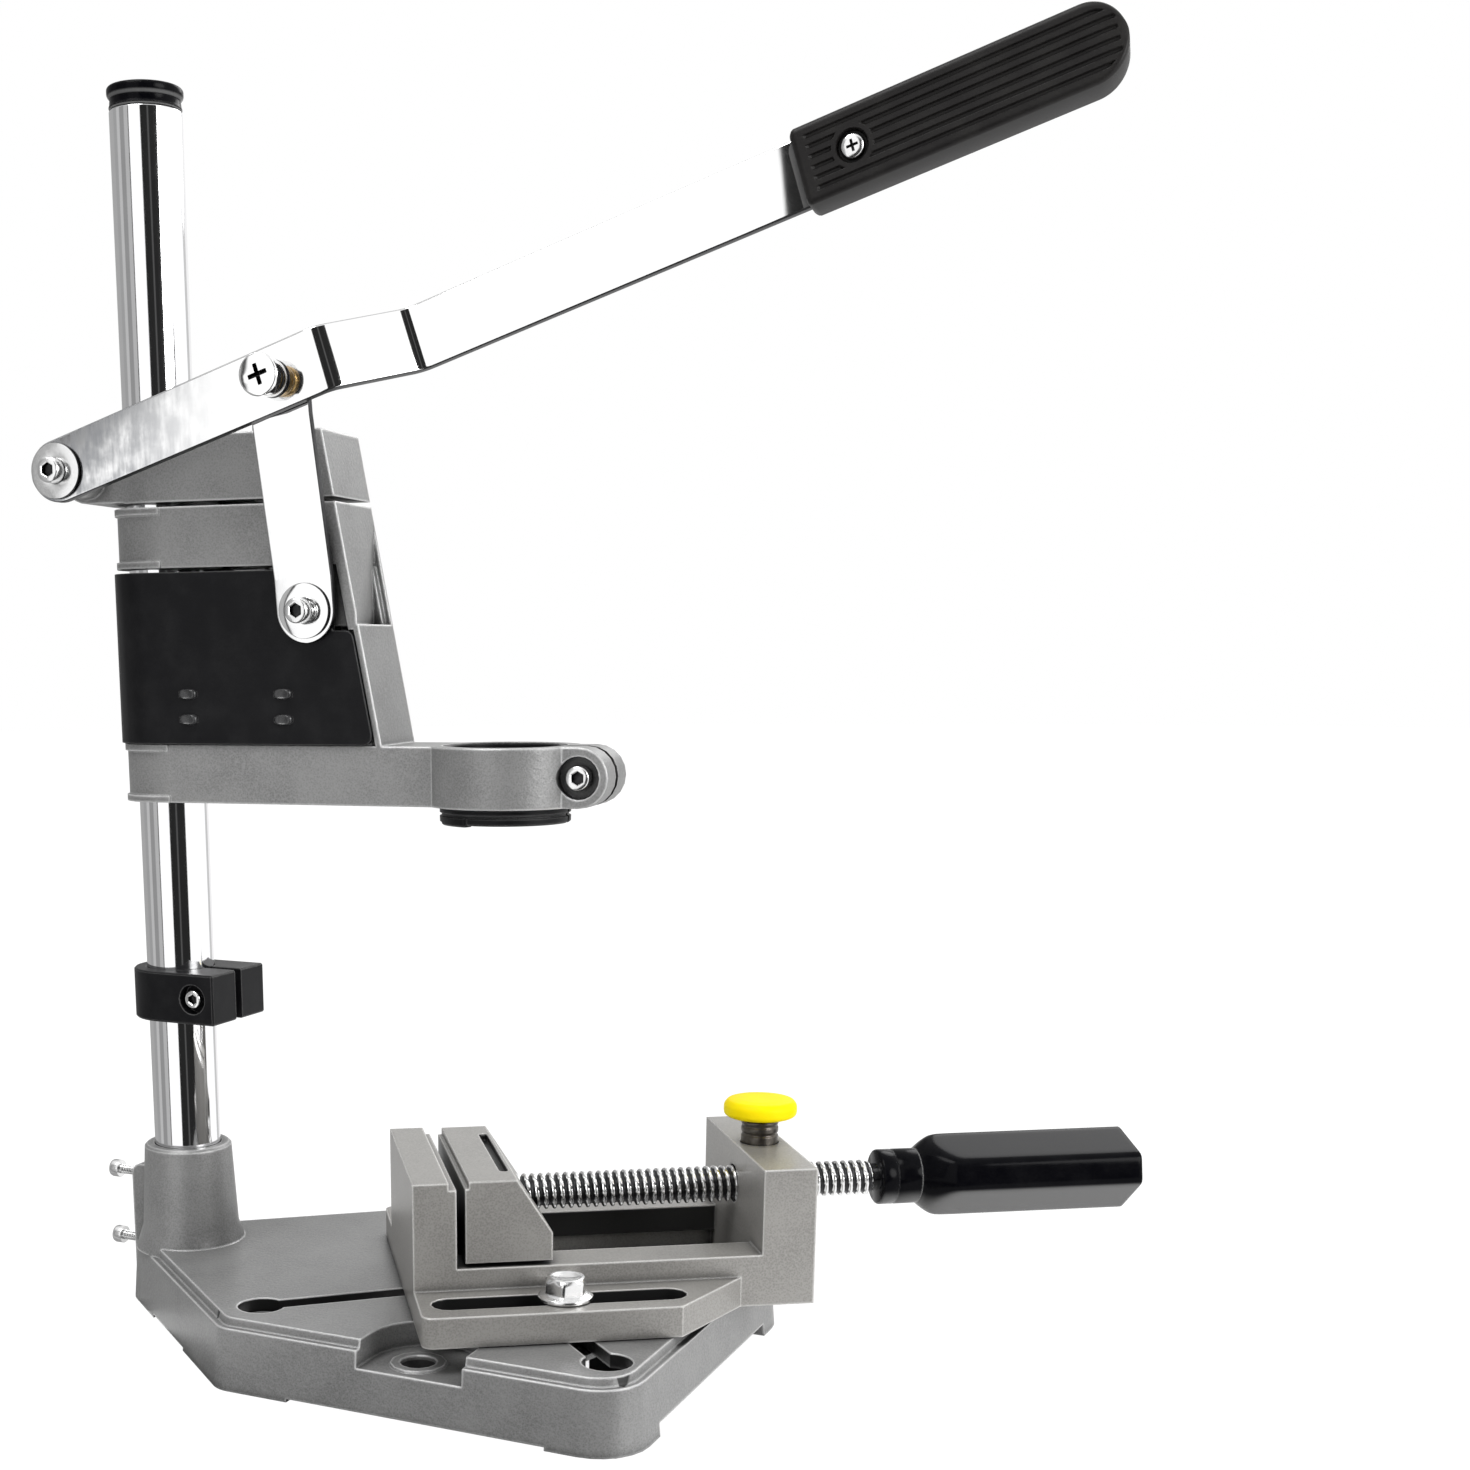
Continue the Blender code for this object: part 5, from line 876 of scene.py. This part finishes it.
def bent_path(corners, radius, steps):
    """A polyline with a true arc of one radius at every inner corner."""
    path = [corners[0]]
    for before, here, after in zip(corners[:-2], corners[1:-1], corners[2:]):
        into, out = unit(np.subtract(here, before)), unit(np.subtract(after, here))
        bend = np.arctan2(into[0] * out[1] - into[1] * out[0], into @ out)
        side = np.array([-into[1], into[0]]) * np.sign(bend)
        start = np.array(here) - into * radius * tan(abs(bend) / 2)
        for turn in np.linspace(0.0, abs(bend), steps + 1):
            path.append(start + into * radius * sin(turn) + side * radius * (1.0 - cos(turn)))
    return np.array([*path, corners[-1]], float)


def strip(path, stops, half_width, half_depth, edge, narrow):
    """Sections of a flat bar along a bent path: the round end about the origin, bends and straights."""
    grid = []
    aside = 0.15
    for a, y in sorted([*map(tuple, path[1:-1]), *stops], key=lambda point: point[0]):
        half = narrow(a, half_width if a > 0 else np.sqrt(max(half_width ** 2 - a ** 2, 0.01)))
        before, after = (np.interp(a + step, path[:, 0], path[:, 1]) for step in (-aside, aside))
        lean = atan2(after - before, 2 * aside)
        loop = stadium(half, half_depth, min(edge, half * 0.6))
        grid.append(np.stack([a - loop[:, 1] * sin(lean), y + loop[:, 1] * cos(lean), loop[:, 0]], 1))
    return np.array(grid)


def round_stops(radius, y):
    """Stops from the tip of a round end about the origin to where it is widest."""
    return [(-radius * cos(turn), y) for turn in np.linspace(0.0, pi / 2, 14)]


bar_half, bar_end, tang_start, tang_half = 10.2, 346.0, 262.9, 7.5
bar_near, bar_far = -32.0, -8.0
bar_corners = [(-bar_half, bar_near), (103.6, bar_near), (127.9, bar_far), (bar_end, bar_far)]
bar_path = bent_path(bar_corners, 8.5, 10)
bar_stops = round_stops(bar_half, bar_near) + [(a, bar_near) for a in np.linspace(8.0, 97.0, 8)]
bar_stops += [(a, bar_far) for a in (134.0, 160.0, 200.0, 240.0, 262.6, 263.0, bar_end - 0.4, bar_end)]


def narrow_tang(a, half):
    """Half the bar's width, which is less inside the grip."""
    return tang_half if a > tang_start else half


bar_grid = strip(bar_path, bar_stops, bar_half, 2.0, 0.6, narrow_tang)
cut_edges = np.isin(np.arange(4 * corner_points), [*range(0, 5), *range(14, 25), *range(34, 40)])[None, :]
skin("lever_bar", bar_grid, bar_steel, "lever", lever, 40.0, dark=cut_edges)
print("lever bar of", len(bar_grid), "sections")

# %% [markdown]
# ## Grip
# The grip is a flat moulding with a rounded end, six grooves along its front inside a border, and
# a recess for its screw. Each row is one section: its front points are pushed in where a groove
# or the recess is, which is a height field wrapped round a bar.


# %% Grip
grip_screw_place = 278.0
up = np.linspace(0.0, pi / 2, 7)
inner_up = up[1:-1] - pi / 2


def grip_rows():
    """Sections along the grip; depth of a point is a sum of soft-edged grooves and the recess."""
    start, end, radius, screw = 261.1, 358.4, 11.4, grip_screw_place
    places = np.unique(np.concatenate([
        start + np.array([0, 0.3, 0.8, 1.6]), np.linspace(start + 2, screw - 6.5, 10),
        np.linspace(screw - 6.4, screw + 6.4, 60), np.linspace(screw + 6.5, end - radius, 60),
        end - radius * (1 - np.sin(np.linspace(0.02, pi / 2, 40)))]))
    beyond = np.clip((places - (end - radius)) / radius, 0.0, 1.0)
    lip = 1.0 - np.clip((places - start) / 1.6, 0.0, 1.0)
    halves = radius * np.sqrt(np.maximum(1.0 - beyond ** 2, 0.0008)) - 1.2 * lip ** 2
    depths = 9.5 - 1.4 * lip ** 2 - 1.5 * beyond ** 4
    across = np.linspace(-1.0, 1.0, 181)
    rows = []
    for x, half, depth in zip(places, halves, depths):
        edge = min(1.8, half * 0.5, depth * 0.5)
        flat = half - edge
        v = across * flat
        border = np.minimum(flat - np.abs(v) - 0.6, np.minimum(x - start - 4.0, end - 2.6 - x))
        away = np.hypot(x - screw, v)
        groove = np.zeros_like(v)
        for middle in (-7.6, -4.6, -1.6, 1.6, 4.6, 7.6):
            groove = np.maximum(groove, np.clip((0.75 - np.abs(v - middle)) / 0.35, 0.0, 1.0))
        groove = groove * np.clip(border / 0.6, 0.0, 1.0) * np.clip((away - 6.2) / 0.5, 0.0, 1.0)
        recess = np.clip((4.9 - away) / 0.5, 0.0, 1.0)
        front = np.stack([v, groove * 0.9 + recess * 2.5 - depth], 1)
        near = np.stack([flat + edge * np.cos(inner_up), edge - depth + edge * np.sin(inner_up)], 1)
        back = np.stack([flat + edge * np.cos(up), depth - edge + edge * np.sin(up)], 1)
        half_loop = np.concatenate([near, back])
        loop = np.concatenate([front, half_loop, half_loop[::-1] * (-1.0, 1.0)])
        rows.append(np.stack([np.full(len(loop), x), loop[:, 1] + bar_far, loop[:, 0]], 1))
    return np.array(rows)


skin("lever_grip", grip_rows(), grip_black, "lever", lever, 34.0)
screw_hole = lever.facing("-Y", (grip_screw_place * mm, 0, 0))
cross_screw("grip_screw", 4, 3.7, 2.2, 15.3, -1.2, zinc, "lever", screw_hole)
print("grip with its screw")

# %% Link and its screw
link_half, link_end = 10.6, 84.2
link_near, link_far = -28.2, -19.8
link_corners = [(-link_half, link_near), (11.0, link_near), (62.5, link_far), (link_end, link_far)]
link_path = bent_path(link_corners, 4.5, 5)
link_stops = round_stops(link_half, link_near)
link_stops += [(link_end - link_half - a, link_far) for a, _ in round_stops(link_half, link_far)]


def round_foot(a, half):
    """Half the link's width, which follows a second half circle at its foot."""
    beyond = max(a - link_length / mm, 0.0)
    return np.sqrt(max(link_half ** 2 - beyond ** 2, 0.01)) if beyond else half


link_grid = strip(link_path, link_stops, link_half, 1.5, 0.5, round_foot)
link_grid = np.stack([link_grid[..., 2], link_grid[..., 1], -link_grid[..., 0]], -1)
skin("link_plate", link_grid, bar_steel, "link", link, 40.0, dark=cut_edges)
joint = lever.facing("-Y", (crank, 0.0, 0.0))
cross_screw("link_screw", 6, 6.8, 4.2, 41.5, 21.6, bar_steel, "lever", joint, True)
collar_profile = [(3.3, 35.8), (5.2, 35.8), (5.2, 37.0), (4.7, 37.2), (4.7, 37.4), (5.25, 37.6), (5.25, 38.9),
                  (4.8, 39.1), (4.8, 39.3), (5.25, 39.5), (5.25, 40.6), (4.9, 41.2), (3.3, 41.2)]
collar = revolve(collar_profile)
dark_bands = ~np.isin(np.arange(len(collar)), (4, 5, 6, 8, 9, 10))[:, None]
skin("link_collar", collar, brass, "lever", joint, 50.0, ring=True, dark=dark_bands)
flat_washer("link_collar_washer", 6.0, 3.3, 34.3, 35.5, zinc, "lever", joint)
hex_nut("link_screw_nut", 6, 10.3, 21.6, 26.4, "lever", joint)
print("link plate of", len(link_grid), "sections")

# %% [markdown]
# ## Springs
# A compression spring is a circle carried along a helix whose pitch closes up at both ends.


# %% Return spring
def coil_rows(mean, wire, low, high, turns):
    """A circle across the helix at every step; the end turns lie nearly flat."""
    share = np.linspace(0.0, 1.0, turns * 28 + 1)
    closed = (wire + 0.5) / (high - low - wire)
    rise = np.interp(share, [0, 1 / turns, 1 - 1 / turns, 1], [0, closed, 1 - closed, 1])
    turn = 2 * pi * turns * share
    out = np.stack([np.cos(turn), np.sin(turn), np.zeros_like(turn)], 1)
    centre = mean * out
    centre[:, 2] = low + wire / 2 + (high - low - wire) * rise
    tangent = np.gradient(centre, axis=0)
    tangent /= np.linalg.norm(tangent, axis=1)[:, None]
    up = np.cross(tangent, out)
    around = np.linspace(0, 2 * pi, 12, endpoint=False)[None, :, None]
    return centre[:, None] + wire / 2 * (np.cos(around) * out[:, None] + np.sin(around) * up[:, None])


def sprung(node, mean, wire, turns, place, body, fixed):
    """A coil from the low to the high end of a solid's box; the point of its fixed end is worked out but not
    used.
    """
    low, high = (corner[2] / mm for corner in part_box(node))
    rows = coil_rows(mean, wire, low, high, turns)
    coil = skin(node, rows, spring_steel, body, place, 60.0)
    anchor = tuple(map(float, place((0.0, 0.0, (low if fixed == "low" else high) * mm))))
    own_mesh(coil)
    return low, high


rod_place = arm.moved(45.0 * mm)
ends = sprung("return_spring", 7.7, 1.8, 9, rod_place, "head", "low")
print("return spring from", round(ends[0], 1), "to", round(ends[1], 1))

# %% [markdown]
# ## Vise screw and handle
# The lead screw has a coarse thread: the radius at a point depends only on how far along the
# pitch it is. The handle is a six-sided bar with soft corners, narrow at its collar.

# %% Lead screw
screw_place = vise.facing("+X", (0.0, vise_middle, 58.3 * mm))
journal = [(0, 25.6), (4.5, 25.6), (4.5, 31.6), (3.2, 31.6), (3.2, 35.6), (4.5, 35.6), (4.5, 39.7),
           (5.4, 39.8)]
shank = [(5.0, 170.9), (5.0, 185.8), (0.0, 186.0)]
thread_end, thread_pitch = 170.6, 3.0
thread_heights = np.arange(39.9, thread_end, 0.25)
phase = (thread_heights[:, None] / thread_pitch - directions[None, :] / (2 * pi)) % 1.0
ridge = np.clip((0.5 - np.abs(phase - 0.5)) * 4.0 - 0.5, 0.0, 1.0)
fade = np.clip((thread_end - thread_heights) / 1.5, 0.0, 1.0)[:, None]
radii = 5.15 + 1.35 * ridge * fade
rows = [row(radius, height) for radius, height in [*journal, *zip(radii, thread_heights), *shank]]
# faces in the thread's valleys take the shadowed steel: painted shade
valley = np.zeros((len(rows) - 1, directions.size), bool)
valley[len(journal):-len(shank) + 1] = (ridge < 0.3) | (np.roll(ridge, -1, 1) < 0.3)
skin("lead_screw", rows, zinc, "screw", screw_place, 50.0, dark=valley)
print("lead screw of", len(rows), "rows")


# %% Handle
def flattened_hexagon():
    """Distance to a flattened six-sided outline in every direction, its corners a little rounded."""
    high, wide, face, soft, size = 15.3, 18.0, 5.2, 26.0, 0.996
    turned = directions + radians(12.0)
    sides = [(1.0, 0.0, wide), (-1.0, 0.0, wide)]
    slope = np.array([high - face, wide])
    reach = wide * high / np.linalg.norm(slope)
    slope = unit(slope)
    sides += [(sx * slope[0], sy * slope[1], reach) for sx in (1, -1) for sy in (1, -1)]
    facing = [np.maximum(nx * np.cos(turned) + ny * np.sin(turned), 0.0) / c for nx, ny, c in sides]
    return sum(share ** soft for share in facing) ** (-1.0 / soft) * size


def handle_rows():
    """Sections along the handle: a round collar, a cone that frees six sides, and a flat end."""
    outline = flattened_hexagon()
    shape = [(0.0, 172.8), (9.3, 172.8), (9.85, 173.2), (10.0, 173.8), (10.0, 178.2), (9.7, 178.5),
             (9.7, 178.9), (10.0, 179.2), (10.0, 186.8), (9.9, 187.3), (10.2, 187.6)]
    for x in np.linspace(188.0, 199.5, 16):
        cone = 10.0 + (x - 187.5) * 0.88
        shape.append(((outline ** -14.0 + cone ** -14.0) ** (-1.0 / 14.0), x))
    shape += [(outline, x) for x in (201.0, 210.0, 230.0, 250.0, 264.4)]
    shape += [(outline - 1.0 + cos(turn), 265.5 + sin(turn)) for turn in np.linspace(0.0, pi / 2, 6)]
    shape += [(outline * 0.90, 266.5), (outline * 0.87, 266.2), (6.4, 266.1), (6.0, 265.6), (4.6, 265.6),
              (4.4, 266.0), (0.0, 266.0)]
    return [row(radius, x) for radius, x in shape]


skin("screw_handle", handle_rows(), gloss_black, "screw", screw_place, 50.0)
print("handle of six sides")

# %% Quick release
knob_place = vise.moved(129.3 * mm, vise_middle)
bush_profile = [(3.3, 66.6), (6.6, 66.6), (6.6, 76.0), (6.2, 76.4), (6.2, 77.0), (6.6, 77.4), (6.6, 79.0),
                (6.3, 79.4), (6.3, 80.0), (6.6, 80.3), (6.6, 81.3), (3.3, 81.3)]
bush = revolve(soften(bush_profile, 0.25, 2))
skin("release_bush", bush, dark_steel, "vise", knob_place, 40.0, ring=True)
knob_profile = [(0, 85.8), (3.3, 85.8), (3.3, 81.6), (6.7, 81.6), (7.4, 82.4), (11.6, 82.8), (12.8, 83.7),
                (13.0, 85.2), (12.9, 87.2), (11.6, 88.9), (8.0, 89.35), (0, 89.4)]
knob = revolve(soften(knob_profile, 0.8, 5))
skin("release_knob", knob, lemon, "release", knob_place, 50.0)
sprung("release_spring", 4.25, 0.7, 4, knob_place, "vise", "high")
print("quick release")


# %% Hold-down bolts of the vise
def flange_bolt(node):
    """A hexagon head on a wide flange, with a shallow dish in its top."""
    low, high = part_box(node)
    place = stand.moved((low[0] + high[0]) / 2, (low[1] + high[1]) / 2)
    tip, seat = 10.8, 36.2
    side, bevel, brim = (np.minimum(hexagon(12.8, radians(17)), limit) for limit in (7.4, 7.0, 6.3))
    rows = [row(0.0, tip), row(3.6, tip), *thread_rows(4.0, tip + 0.4, seat - 0.3, 1.25, 0.5)]
    shape = [(4.0, 0.0), (9.2, 0.0), (9.3, 0.5), (9.1, 1.1), (7.9, 1.9), (side, 2.3), (side, 5.6),
             (bevel, 6.6), (brim, 7.4), (5.6, 7.6), (4.6, 7.5), (3.8, 7.1), (0.0, 7.0)]
    rows += [row(radius, seat + rise) for radius, rise in shape]
    skin(node, rows, zinc, "base", place, 35.0)


for node in ("vise_bolt_near", "vise_bolt_far"):
    flange_bolt(node)
print("hold-down bolts")

# %% Socket and stop screws
for node, height in (("socket_screw_lower", 21.5), ("socket_screw_upper", 48.5)):
    socket_place = stand.facing("-X", (0.0, 0.0, height * mm))
    socket_bolt(node, 4, 32.0, 12.8, "base", socket_place)
socket_bolt("stop_screw", 4, 13.3, -17.4, "stop", stand.facing("-Y", (16.4 * mm, 0.0, 121.85 * mm)))
print("socket and stop screws")

# %% [markdown]
# ## Solids that keep their shape
# What is left are plain nuts, washers, screws and pins, mostly out of sight. They keep the solids' shape
# and take the same finishes as their neighbours.

# %% Finishes for the remaining solids
remaining = {"zinc": zinc, "dark_steel": dark_steel, "black_plastic": black_satin, "gloss_black": gloss_black,
             "yellow_plastic": lemon, "chrome": chrome, "cast_grey": stand_paint, "vise_grey": vise_paint}
slots = {entry["node"]: entry["material_slot"] for entry in frame["record"]["subparts"]}
for node, thing in frame["nodes"].items():
    thing.data.materials.clear()
    thing.data.materials.append(remaining[slots[node]])
print(sum(not thing.hide_render for thing in frame["nodes"].values()), "solids stay in view")
